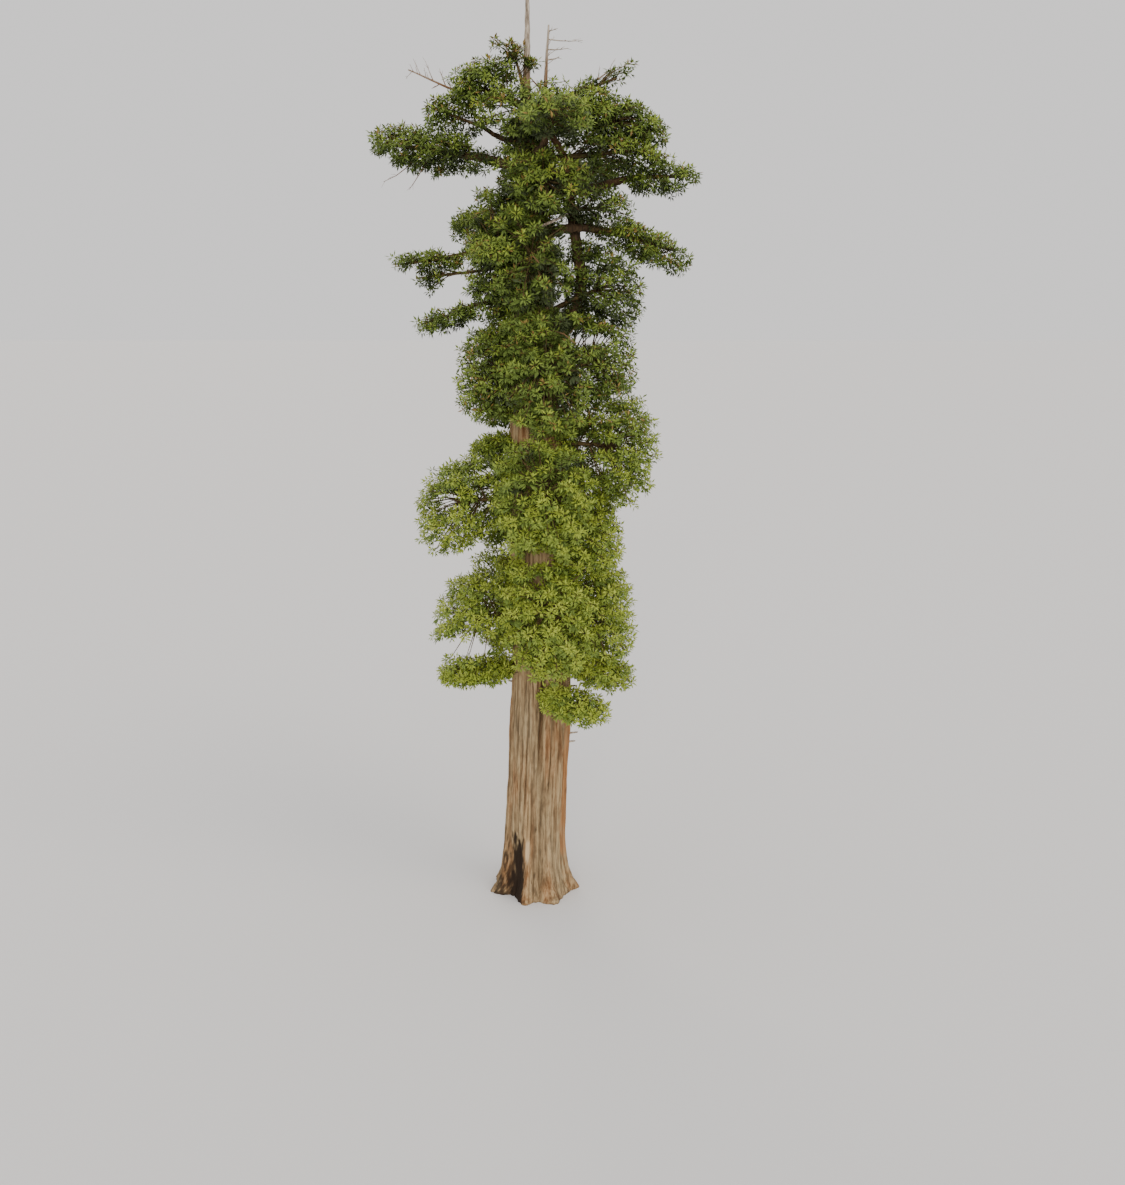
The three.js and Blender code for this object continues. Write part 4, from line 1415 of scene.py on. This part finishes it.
@dataclass(frozen=True)
class Window:
    """A place that foliage leaves free, so that bark or sky shows there from the viewer's place."""

    x: float
    z: float  # both where it is seen on the crown's front
    half_width: float
    half_height: float
    back: float = -0.4  # how far back it goes

    def spread(self, points: Array) -> Array:
        """How far from its middle points stand, seen from the viewer's place.

        Args:
            points: places, with x, y and z on the last side.

        Returns:
            The square of the distance, which is 1 on the window's edge.
        """
        across = (points[..., 0] - self.x) / self.half_width
        rise = (EYE[2] - self.z) / -EYE[1]
        up = (points[..., 2] - self.z + rise * (points[..., 1] - CROWN_FRONT)) / self.half_height
        return across**2 + up**2

    def hides(self, points: Array) -> Array:
        """Whether foliage at the points is left out."""
        return (self.spread(points) < 1) & (points[..., 1] < self.back)


@dataclass(frozen=True)
class Recess(Window):
    """A dark hollow in the crown, where the foliage is thin, old and shaded by what is above it; the shade
    is painted, as darker tones dealt to its sprays.
    """

    back: float = 0.6

    def gloom(self, points: Array) -> Array:
        """How deep in the hollow points lie, from 0 outside it to 1 in its middle."""
        return smooth(1.6 - 1.3 * np.sqrt(self.spread(points))) * (points[..., 1] < self.back)


WINDOWS = (
    Window(-0.5, 21.85, 0.62, 0.42),
    Window(0.3, 16.45, 0.75, 0.36),
    Window(1.15, 30.5, 0.6, 0.28, -1.05),  # the bare limb
    Window(-3.1, 12.3, 1.3, 0.46, math.inf),  # between the lower masses on the left
    Window(-3.55, 18.9, 0.5, 0.36, math.inf),
    Window(2.55, 25.75, 0.8, 0.32, math.inf),
)
RECESSES = (
    Recess(-2.2, 32.95, 1.3, 0.35),  # under the long left bough
    Recess(-0.4, 33.5, 0.9, 0.33),  # under the cap
    Recess(1.3, 33.65, 1.0, 0.4),
    Recess(2.5, 33.3, 0.7, 0.25),
    Recess(-1.1, 31.6, 0.55, 0.5),
    Recess(1.05, 31.9, 0.55, 0.4),
    Recess(2.6, 32.0, 0.8, 0.35),
    Recess(2.1, 30.9, 0.5, 0.4),
    Recess(1.1, 30.1, 0.8, 0.4),  # behind the bare limb
    Recess(1.4, 29.4, 0.5, 0.4),
    Recess(0.8, 28.7, 0.5, 0.4),
    Recess(-1.9, 28.6, 0.35, 0.4),
    Recess(1.1, 27.7, 0.5, 0.4),
    Recess(1.9, 27.4, 0.35, 0.3),
    Recess(1.3, 26.5, 0.6, 0.5),
    Recess(1.9, 24.3, 0.4, 0.5),
    Recess(-1.1, 23.3, 0.5, 0.35),
    Recess(1.5, 23.2, 0.5, 0.5),
    Recess(0.0, 21.0, 0.4, 0.35),
    Recess(1.6, 20.6, 0.8, 0.35),
    Recess(-0.6, 19.5, 0.35, 0.4),
)


def in_window(points: Array) -> Array:
    """Whether foliage at the points is left out for bark or sky to show."""
    return np.any([window.hides(points) for window in WINDOWS], axis=0)


def gloom(points: Array) -> Array:
    """How deep in a dark hollow of the crown points lie, from 0 outside to 1 in its middle."""
    return np.max([recess.gloom(points) for recess in RECESSES], axis=0)


@dataclass
class Crown:
    """All masses of foliage, shared out so that each keeps to its own space."""

    trunk: Trunk
    box: tuple[Array, Array]  # the lowest and highest corner of the solids
    layers: tuple[Layer, ...] = (Layer(0.95, 0.7, 0.99), Layer(6.5, 0.42, 0.6))
    least_plumes: int = 5  # in a layer
    probes: int = 16  # places tried on the way out, to find how far a mass's share goes
    stem_knots: int = 28  # points of a stem that branches may leave from
    branch_back: int = 6  # how many knots a branch leaves the stem before the one nearest its tip
    branch_rise: float = 0.12  # how far a branch bows up, as a share of its length
    branch_radii: tuple[float, float] = (0.014, 0.055)  # the least and the most where it starts
    branch_growth: float = 0.013  # of its radius for each metre of its length
    patch_size: float = 0.6  # of the patches in which plumes are missing
    inward_share: float = 0.2  # how many of the plumes that face the trunk grow
    between_share: float = 0.35  # how many of those deep between two masses grow
    plume_length: float = 0.78  # from its middle to its tip
    plume_width: float = 0.52
    plume_rise: float = 0.3  # how much higher its middle is than its rim
    clumps_each: int = 9  # on a plume
    jitter: float = 0.16  # how far chance moves a clump
    dome: float = 1.5  # how much of a ball a clump's sprays stand out to: 1 is half of it
    spray_length: float = 0.215
    sprays_each: int = 16  # in a clump
    backing: int = 10  # broad old sprays under each plume
    backing_length: float = 0.36
    deepest: float = 1.06  # how far past the edge of its space a clump may stand
    margin: float = 0.03  # by how much its depth in its own mass must be the least
    thinning: float = 0.45  # the share of the clumps that a dark hollow lacks in its middle
    edge_tone: float = 2.05  # of a clump on a high mass's edge, which the rows below change
    low_light: float = 1.7
    # painted shade: how much darker the middle of a mass is
    inner_dark: float = 1.7
    # painted light: how much lighter clumps that face upwards are
    upper_light: float = 0.35
    broad_mottle: float = 0.4
    fine_mottle: float = 0.8
    tone_chance: float = 0.6
    # painted shade: how much darker clumps are in the dark hollows and on the undersides of masses, most of
    # all high up
    hollow_shade: float = 1.9
    under_dark: float = 0.4
    high_under_dark: float = 1.1
    # painted shade: the backing sprays' base tone, low because they lie under the plumes
    backing_tone: float = 0.6
    rust_shares: tuple[float, float, float] = (0.03, 0.3, 0.5)  # everywhere, in patches and at the top
    tuft_gap: float = 0.52  # between the small plumes that come straight out of the trunk
    tuft_size: float = 0.62
    tuft_heights: tuple[float, float] = (10.2, 34.6)
    tuft_roots: tuple[float, float] = (0.2, 0.12)  # how far from a stem's and a bough's middle line
    clad_boughs: tuple[str, ...] = ("right_middle_bough", "right_long_bough", "left_middle_bough")
    clad_steps: int = 12  # places along a bough or stem that carry tufts
    trunk_gap: float = 0.12
    stems: Rods = field(default_factory=Rods)
    twigs: Rods = field(default_factory=Rods)
    clumps: list[Clumps] = field(default_factory=list)
    broad: list[Sprays] = field(default_factory=list)

    def owned(self, name: str, points: Array) -> Array:
        """Whether points lie in a mass's own share of the crown, with nothing else in the way.

        Args:
            name: the mass.
            points: places, with x, y and z on the last side.

        Returns:
            True or False for each.
        """
        depth = MASSES[name].depth(points)
        free = (depth < self.deepest) & ((points > self.box[0]) & (points < self.box[1])).all(axis=-1)
        for other, mass in MASSES.items():
            if other != name:
                free &= mass.depth(points) > depth + self.margin
        away = points - self.trunk.middle(points[..., 2])
        reach = self.trunk.reach(points[..., 2], np.arctan2(away[..., 1], away[..., 0]))
        outside = np.hypot(away[..., 0], away[..., 1]) > reach + self.trunk_gap
        return free & (outside | (points[..., 2] > self.trunk.top))

    def free_reach(self, name: str, directions: Array) -> Array:
        """How far the mass's own share goes in each direction.

        Args:
            name: the mass.
            directions: unit vectors, count by 3.

        Returns:
            The share of the way to the edge for each.
        """
        steps = np.linspace(0.2, 1, self.probes)
        every = np.broadcast_to(steps, (len(directions), self.probes))
        blocked = ~self.owned(name, MASSES[name].edge(directions[:, None], every))
        blocked[:, 0] |= blocked[:, 1] & blocked[:, 2]
        first = np.where(blocked.any(axis=1), blocked.argmax(axis=1), self.probes)
        return np.where(first == 0, 0.0, steps[np.clip(first - 1, 0, self.probes - 1)])

    def grow(self, name: str) -> None:
        """Grows one mass: its stem, its branches and the plumes that they carry.

        Args:
            name: the mass.
        """
        mass, index = MASSES[name], MASS_NAMES.index(name)
        stem = mass.stem(self.trunk)
        radius = mass.stem_radius(stem)
        self.stems.add(stem.start, stem.bend, stem.end, radius, 0.35 * radius)
        line = stem.at(np.linspace(0.1, 1, self.stem_knots))
        for row, layer in enumerate(self.layers):
            count = mass.area() * mass.density / (layer.area * mass.plume_size() ** 1.5)
            directions = spiral(max(self.least_plumes, round(count)), index + 2.1 * row)
            number = np.arange(len(directions)) + 1000 * row + 137 * index
            free = self.free_reach(name, directions)
            share = free * lerp(layer.nearest, layer.furthest, scatter(number * 7))
            inward = (directions @ mass.outward() < -0.2) & mass.hugs_trunk()
            hidden = inward & (scatter(number * 13) > self.inward_share)
            hidden |= (free < 0.9) & (share < 0.6) & (scatter(number * 11) > self.between_share)
            tips = mass.edge(directions, share)
            patches = lumps(tips, self.patch_size, index)
            keep = (share > 0.25) & ~hidden & (patches >= np.quantile(patches, mass.gaps))
            keep &= ~in_window(tips)
            tips = tips[keep]
            away = np.linalg.norm(tips[:, None] - line[None], axis=2)
            knots = line[np.maximum(0, away.argmin(axis=1) - self.branch_back)]
            length = np.linalg.norm(tips - knots, axis=1, keepdims=True)
            bends = lerp(knots, tips, 0.5) + UP * self.branch_rise * length
            least, most = self.branch_radii
            thick = np.minimum(most, least + self.branch_growth * length[:, 0])
            self.stems.add(knots, bends, tips, thick, 0.3 * thick)
            self.plumes(name, tips, unit(tips - bends), number[keep])

    def tuft_feet(self) -> tuple[Array, Array]:
        """Where the tufts start: all round the trunk and the second stem, and on the clad boughs.

        Returns:
            Their feet and their directions.
        """
        feet, outs = [], []
        stem_root, bough_root = self.tuft_roots
        count = round(2 * math.pi * self.trunk.radius / self.tuft_gap)
        step = np.arange(count)
        for row, z in enumerate(np.arange(*self.tuft_heights, 0.8 * self.tuft_gap)):
            turn = (step + scatter(step + 57 * row)) * 2 * math.pi / count + 2.4 * row
            height = z + 0.5 * self.tuft_gap * (scatter(step * 3 + 91 * row) - 0.5)
            outs.append(level_ways(turn))
            feet.append(self.trunk.middle(height) + outs[-1] * self.trunk.reach(height, turn)[:, None])
        shares = np.linspace(0.3, 1, self.clad_steps)
        stem = LIMBS["second_stem"].curve()
        for share in shares:
            outs.append(level_ways(np.arange(4) * math.pi / 2 + 9 * share))
            feet.append(stem.at(share) + stem_root * outs[-1])
        left_and_right = (-1.0) ** np.arange(self.clad_steps)[:, None]
        for bough in self.clad_boughs:
            curve = LIMBS[bough].curve()
            side, _ = crossways(curve.along(shares))
            outs.append(unit(UP + 0.8 * left_and_right * side))
            feet.append(curve.at(shares) + bough_root * outs[-1])
        return np.concatenate(feet), np.concatenate(outs)

    def tufts(self) -> None:
        """Grows the small plumes straight out of the bark, each in the mass whose space it stands in."""
        foot, out = self.tuft_feet()
        tips = foot + out * (self.trunk_gap + 0.16 + 0.3 * scatter(np.arange(len(foot)) * 17)[:, None])
        depths = np.stack([mass.depth(tips) for mass in MASSES.values()])
        free = (depths.min(axis=0) < self.deepest) & ~in_window(tips)
        for index, name in enumerate(MASS_NAMES):
            mine = np.flatnonzero(free & (depths.argmin(axis=0) == index))
            self.stems.add(foot[mine] - 0.1 * out[mine], foot[mine], tips[mine], 0.02, 0.01)
            self.plumes(name, tips[mine], out[mine], 5000 + mine, self.tuft_size)

    def plumes(self, name: str, tips: Array, ways: Array, number: Array, scale: float = 1.0) -> None:
        """Grows a mass's plumes at the ends of branches.

        Args:
            name: the mass.
            tips: the branches' tips.
            ways: the direction of each branch at its tip.
            number: a number for each that picks its part of chance.
            scale: the size of these plumes beside the mass's usual ones.
        """
        mass = MASSES[name]
        outward = unit((tips - self.trunk.middle(tips[:, 2])) * LEVEL)
        along = unit(0.6 * ways + 0.7 * outward - mass.fall() * UP)
        size = (scale * mass.plume_size() * (0.8 + 0.45 * scatter(number * 29)))[:, None]
        plumes = Plumes(name, tips, along, *crossways(along), size, number)
        self.add_backing(plumes)
        self.add_clumps(plumes)

    def add_clumps(self, plumes: Plumes) -> None:
        """Places the clumps of plumes: rings of them round the middle, each on its own twig.

        Args:
            plumes: the plumes.
        """
        mass, size, number = MASSES[plumes.name], plumes.size, plumes.number
        tips, along, across, over = plumes.frames()
        step = np.arange(self.clumps_each)[None]
        count = np.ceil(self.clumps_each * np.minimum(1, size) ** 1.4)
        rim = np.sqrt(np.minimum(1, (step + 0.5) / count))  # 0 in the plume's middle and 1 on its rim
        turn = step * GOLDEN_ANGLE + ABOUT_A_TURN * scatter(number * 31)[:, None]
        chance = scatter(number[:, None, None] * 37 + step[..., None] * 3 + np.arange(3)) - 0.5
        reach = (rim * np.cos(turn) * self.plume_length * size)[..., None]
        spread = (rim * np.sin(turn) * self.plume_width * size)[..., None]
        rise = (self.plume_rise * (0.5 - rim**2) * size)[..., None]
        head = tips + reach * along + spread * across + rise * over + self.jitter * chance
        fanned = reach * along + spread * across
        axis = unit(over + 0.9 * fanned + 0.3 * UP)
        sweep = unit(along + 1.3 * fanned + 0.5 * spread * across + 0.9 * chance)
        foot = tips + 0.5 * (reach - 0.3) * along
        dark = gloom(head)
        keep = self.owned(plumes.name, head) & ~in_window(head) & (step < count)
        keep &= scatter(number[:, None] * 41 + step) > self.thinning * dark
        # painted light and shade: a plume's middle is dealt lighter tones and its rim darker, and each mass
        # is shifted by its own light
        painted_light = 1.7 * (0.5 - np.broadcast_to(rim, keep.shape) ** 2) + mass.light
        number = np.broadcast_to(number[:, None] * 40 + step, keep.shape)
        head, axis, sweep, foot, dark, painted_light, number = (
            part[keep] for part in (head, axis, sweep, foot, dark, painted_light, number)
        )
        length = np.linalg.norm(head - foot, axis=1, keepdims=True)
        self.twigs.add(foot, lerp(foot, head, 0.5) - 0.08 * length * UP, head, 0.012, 0.005)
        # painted shade: clumps deep in the dark hollows and low in a mass, most of all high in the crown,
        # are dealt darker tones
        high = smooth((head[:, 2] - 22) / 8)
        shade = self.hollow_shade * dark + (self.under_dark + self.high_under_dark * high) * mass.below(head)
        tone = self.tone(head, axis, 1 - np.clip(mass.depth(head), 0, 1), number) + painted_light - shade
        owner = np.full(len(head), MASS_NAMES.index(plumes.name))
        self.clumps.append(Clumps(head, axis, sweep, tone, owner))

    def add_backing(self, plumes: Plumes) -> None:
        """Places the broad old sprays that lie under each plume and close it.

        Args:
            plumes: the plumes.
        """
        tips, along, across, over = plumes.frames()
        step = np.arange(self.backing)[None, :, None]
        chance = scatter(plumes.number[:, None, None] * 43 + step * 4 + np.arange(4))
        turn = step * 2 * math.pi / self.backing + ABOUT_A_TURN * chance[..., :1]
        way = np.cos(turn) * along + 0.8 * np.sin(turn) * across
        way = unit(way - (0.1 + 0.4 * chance[..., 1:2]) * UP)
        length = self.backing_length * plumes.size * (0.8 + 0.5 * chance[..., 2])
        foot = tips - 0.16 * over + 0.1 * way
        end = foot + way * length[..., None]
        keep = self.owned(plumes.name, end) & ~in_window(end)
        normal = squared(over + 0.5 * (chance[..., 1:4] - 0.5), way)
        low = 1 - smooth((foot[..., 2] - 17) / 13)
        # painted shade: the backing sprays start darker than the clumps above them, and darker still in the
        # hollows
        tone = self.backing_tone + 1.1 * low + 0.8 * (chance[..., 3] - 0.5) - 1.5 * gloom(foot)
        owner = np.full(keep.shape, MASS_NAMES.index(plumes.name))
        self.broad.append(Sprays(foot, way, normal, length, tone, owner).picked(keep))

    def tone(self, points: Array, outward: Array, inner: Array, number: Array) -> Array:
        """How light clumps are: low yellow-green foliage and darker green towards the top, with painted
        shade inside each mass and painted light on upper sides.

        Args:
            points: the clumps' places.
            outward: the direction out of the crown at each.
            inner: how far inside its mass each lies.
            number: a number for each that picks its part of chance.

        Returns:
            From 0, the darkest tone, to 5, the lightest.
        """
        low = 1 - smooth((points[:, 2] - 16) / 10)
        # painted shade in the middle of each mass, and painted light on clumps that face upwards
        tone = self.edge_tone + self.low_light * low - self.inner_dark * inner
        tone = tone + self.upper_light * outward[:, 2] + self.broad_mottle * lumps(points, 1.9, 4.0)
        tone = tone + self.fine_mottle * lumps(points * np.array([1, 1, 0.6]), 0.5, 7.0)
        return tone + self.tone_chance * (scatter(number * 19) - 0.5)

    def narrow(self) -> Sprays:
        """The narrow sprays of all clumps, which stand out of each like a puff.

        Returns:
            The sprays, clump by clump.
        """
        clumps = Clumps.joined(self.clumps)
        step = np.arange(self.sprays_each)
        number = np.arange(len(clumps.head))[:, None] * self.sprays_each + step[None]
        chance = scatter(number[..., None] * 7 + np.arange(7))
        lean = unit(clumps.axis + 0.8 * clumps.sweep)
        side, over = crossways(lean)
        lean = lean[:, None]
        height = 1 - self.dome * (step + 0.5) / self.sprays_each
        turn = step * GOLDEN_ANGLE + ABOUT_A_TURN * scatter(number[:, :1] * 3.3)
        flat = np.cos(turn)[..., None] * side[:, None] + np.sin(turn)[..., None] * over[:, None]
        along = np.sqrt(1 - height**2)[None, :, None] * flat + height[None, :, None] * lean
        along = unit(along + 0.5 * (chance[..., 0:3] - 0.5) - 0.12 * UP)
        normal = squared(lean + 0.5 * UP + 0.6 * (chance[..., 3:6] - 0.5), along)
        length = self.spray_length * (0.8 + 0.5 * chance[..., 6])
        foot = clumps.head[:, None] + along * 0.25 * length[..., None] - 0.12 * lean
        foot = foot + 0.1 * (chance[..., 4:7] - 0.5)
        # painted light: sprays that point upwards are dealt lighter tones
        tone = clumps.tone[:, None] + 0.4 * (chance[..., 2] - 0.5) + 0.4 * along[..., 2] - 0.1
        mass = np.broadcast_to(clumps.mass[:, None], tone.shape)
        return Sprays(foot, along, normal, length, tone, mass).picked(np.full(tone.shape, True))

    def levels(self, sprays: Sprays) -> Array:
        """The number of each spray's tone, with rusty ones in patches and most of them near the top.

        Args:
            sprays: the sprays.

        Returns:
            The numbers, in the order of the tones.
        """
        height = sprays.foot[:, 2]
        everywhere, in_patches, at_top = self.rust_shares
        share = everywhere + in_patches * smooth((lumps(sprays.foot, 0.45, 11.0) - 0.4) / 0.3)
        share = share + at_top * smooth((height - 36.5) / 0.4)
        rusty = (scatter(np.arange(len(height)) * 23) < share) & (height > 22) & (sprays.tone > 1.2)
        return np.where(rusty, 6, np.clip(np.round(sprays.tone), 0, 5).astype(int))

    def build(self, materials: dict[Tone, bpy.types.Material], twig: bpy.types.Material) -> None:
        """Builds the stems, twigs and sprays of all masses, the sprays in pieces of one tone.

        Args:
            materials: the material of each tone.
            twig: the twigs' material.
        """
        for name in MASS_NAMES:
            self.grow(name)
        self.tufts()
        dress(self.stems.build("foliage_stems", sides=4, steps=2), twig, "bark", MASS_NAMES)
        dress(self.twigs.build("foliage_twigs", sides=3, steps=1), twig, "bark", MASS_NAMES)
        sprays = Sprays.joined([self.narrow(), *self.broad])
        level = self.levels(sprays)
        for number, tone in enumerate(Tone):
            mine = np.flatnonzero(level == number)
            parts = math.ceil(len(mine) * len(SPRAY_FACES) / MOST_TRIANGLES)
            for part, chosen in enumerate(np.array_split(mine, parts)):
                some = sprays.picked(chosen)
                piece = some.build(f"sprays_{tone.name.lower()}_{part + 1}")
                dress(piece, materials[tone], "foliage", [MASS_NAMES[i] for i in np.unique(some.mass)])


# The studio


@dataclass
class Studio:
    """A plain pale floor, soft light and the camera at the viewer's place."""

    floor_size: float = 6000.0
    sky: str = "#f1efee"
    sky_strength: float = 1.14
    sun: str = "#fff0dc"
    lights: dict[str, tuple[float, float, float, float]] = field(  # strength, softness, tilt and turn
        default_factory=lambda: {
            "soft_key": (0.8, 0.6, 48, 58),
            "soft_front": (1.25, 0.35, 77, -4),
            "soft_back": (0.75, 0.6, 68, 200),
        }
    )
    look_down: float = 13.4
    lens: float = 33.42

    def build(self) -> None:
        """Builds the studio."""
        deselect()
        bpy.ops.mesh.primitive_plane_add(size=self.floor_size, location=(0, 0, 0))
        floor = bpy.context.active_object
        floor.name = "studio_floor"
        floor.data.materials.append(StudioFloor().material())
        floor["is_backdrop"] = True
        world = bpy.data.worlds.new("soft light")
        world.use_nodes = True
        background = world.node_tree.nodes["Background"]
        background.inputs["Color"].default_value = linear(self.sky)
        background.inputs["Strength"].default_value = self.sky_strength
        bpy.context.scene.world = world
        for name, (strength, softness, tilt, turn) in self.lights.items():
            deselect()
            bpy.ops.object.light_add(
                type="SUN", location=(0, 0, 60), rotation=(math.radians(tilt), 0, math.radians(turn))
            )
            light = bpy.context.active_object
            light.name = name
            light.data.energy = strength
            light.data.angle = softness
            light.data.color = linear(self.sun)[:3]
        deselect()
        bpy.ops.object.camera_add(location=EYE, rotation=(math.radians(90 - self.look_down), 0, 0))
        camera = bpy.context.active_object
        camera.name = "viewer"
        camera.data.lens = self.lens
        camera.data.sensor_width = 36
        camera.data.sensor_fit = "AUTO"
        camera.data.clip_end = 10000
        bpy.context.scene.camera = camera


def main() -> None:
    """Builds the tree from its trunk out, and then the studio."""
    logging.basicConfig(level=logging.INFO, format="%(name)s: %(message)s")
    cad_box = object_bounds()
    shaded = FibrousBark(
        furrow="#251d16", fibre="#433526", ridge="#63513b", weathered="#4c4235", orange="#553c2a"
    )
    woods = {
        Wood.BARK: shaded.material("shaded bough bark"),
        Wood.DEAD: SilveredWood().material(),
        Wood.BLEACHED: SilveredWood(scraps_end=0.8).material("bleached dead redwood"),
    }
    trunk = Trunk()
    trunk.build(FibrousBark().material())
    Stubs().build(trunk, woods[Wood.BLEACHED])
    bare, snags = Rods(), Snags()
    for key, (name, limb) in enumerate(LIMBS.items()):
        limb.build(name, woods[limb.wood], key)
        limb.bare_twigs(bare, key)
    snags.build(bare)
    twiggy = [name for name, limb in LIMBS.items() if limb.twigs or limb.sprigs]
    twiggy += sorted({row[0] for row in snags.rows})
    dress(bare.build("dead_twigs", sides=5, steps=3), woods[Wood.DEAD], "dead_wood", twiggy)
    crown = Crown(trunk, tuple(np.array(corner, float) for corner in cad_box))
    crown.build({tone: NeedleSpray(tone).material() for tone in Tone}, TwigBark().material())
    Studio().build()


if __name__ == "__main__":
    main()
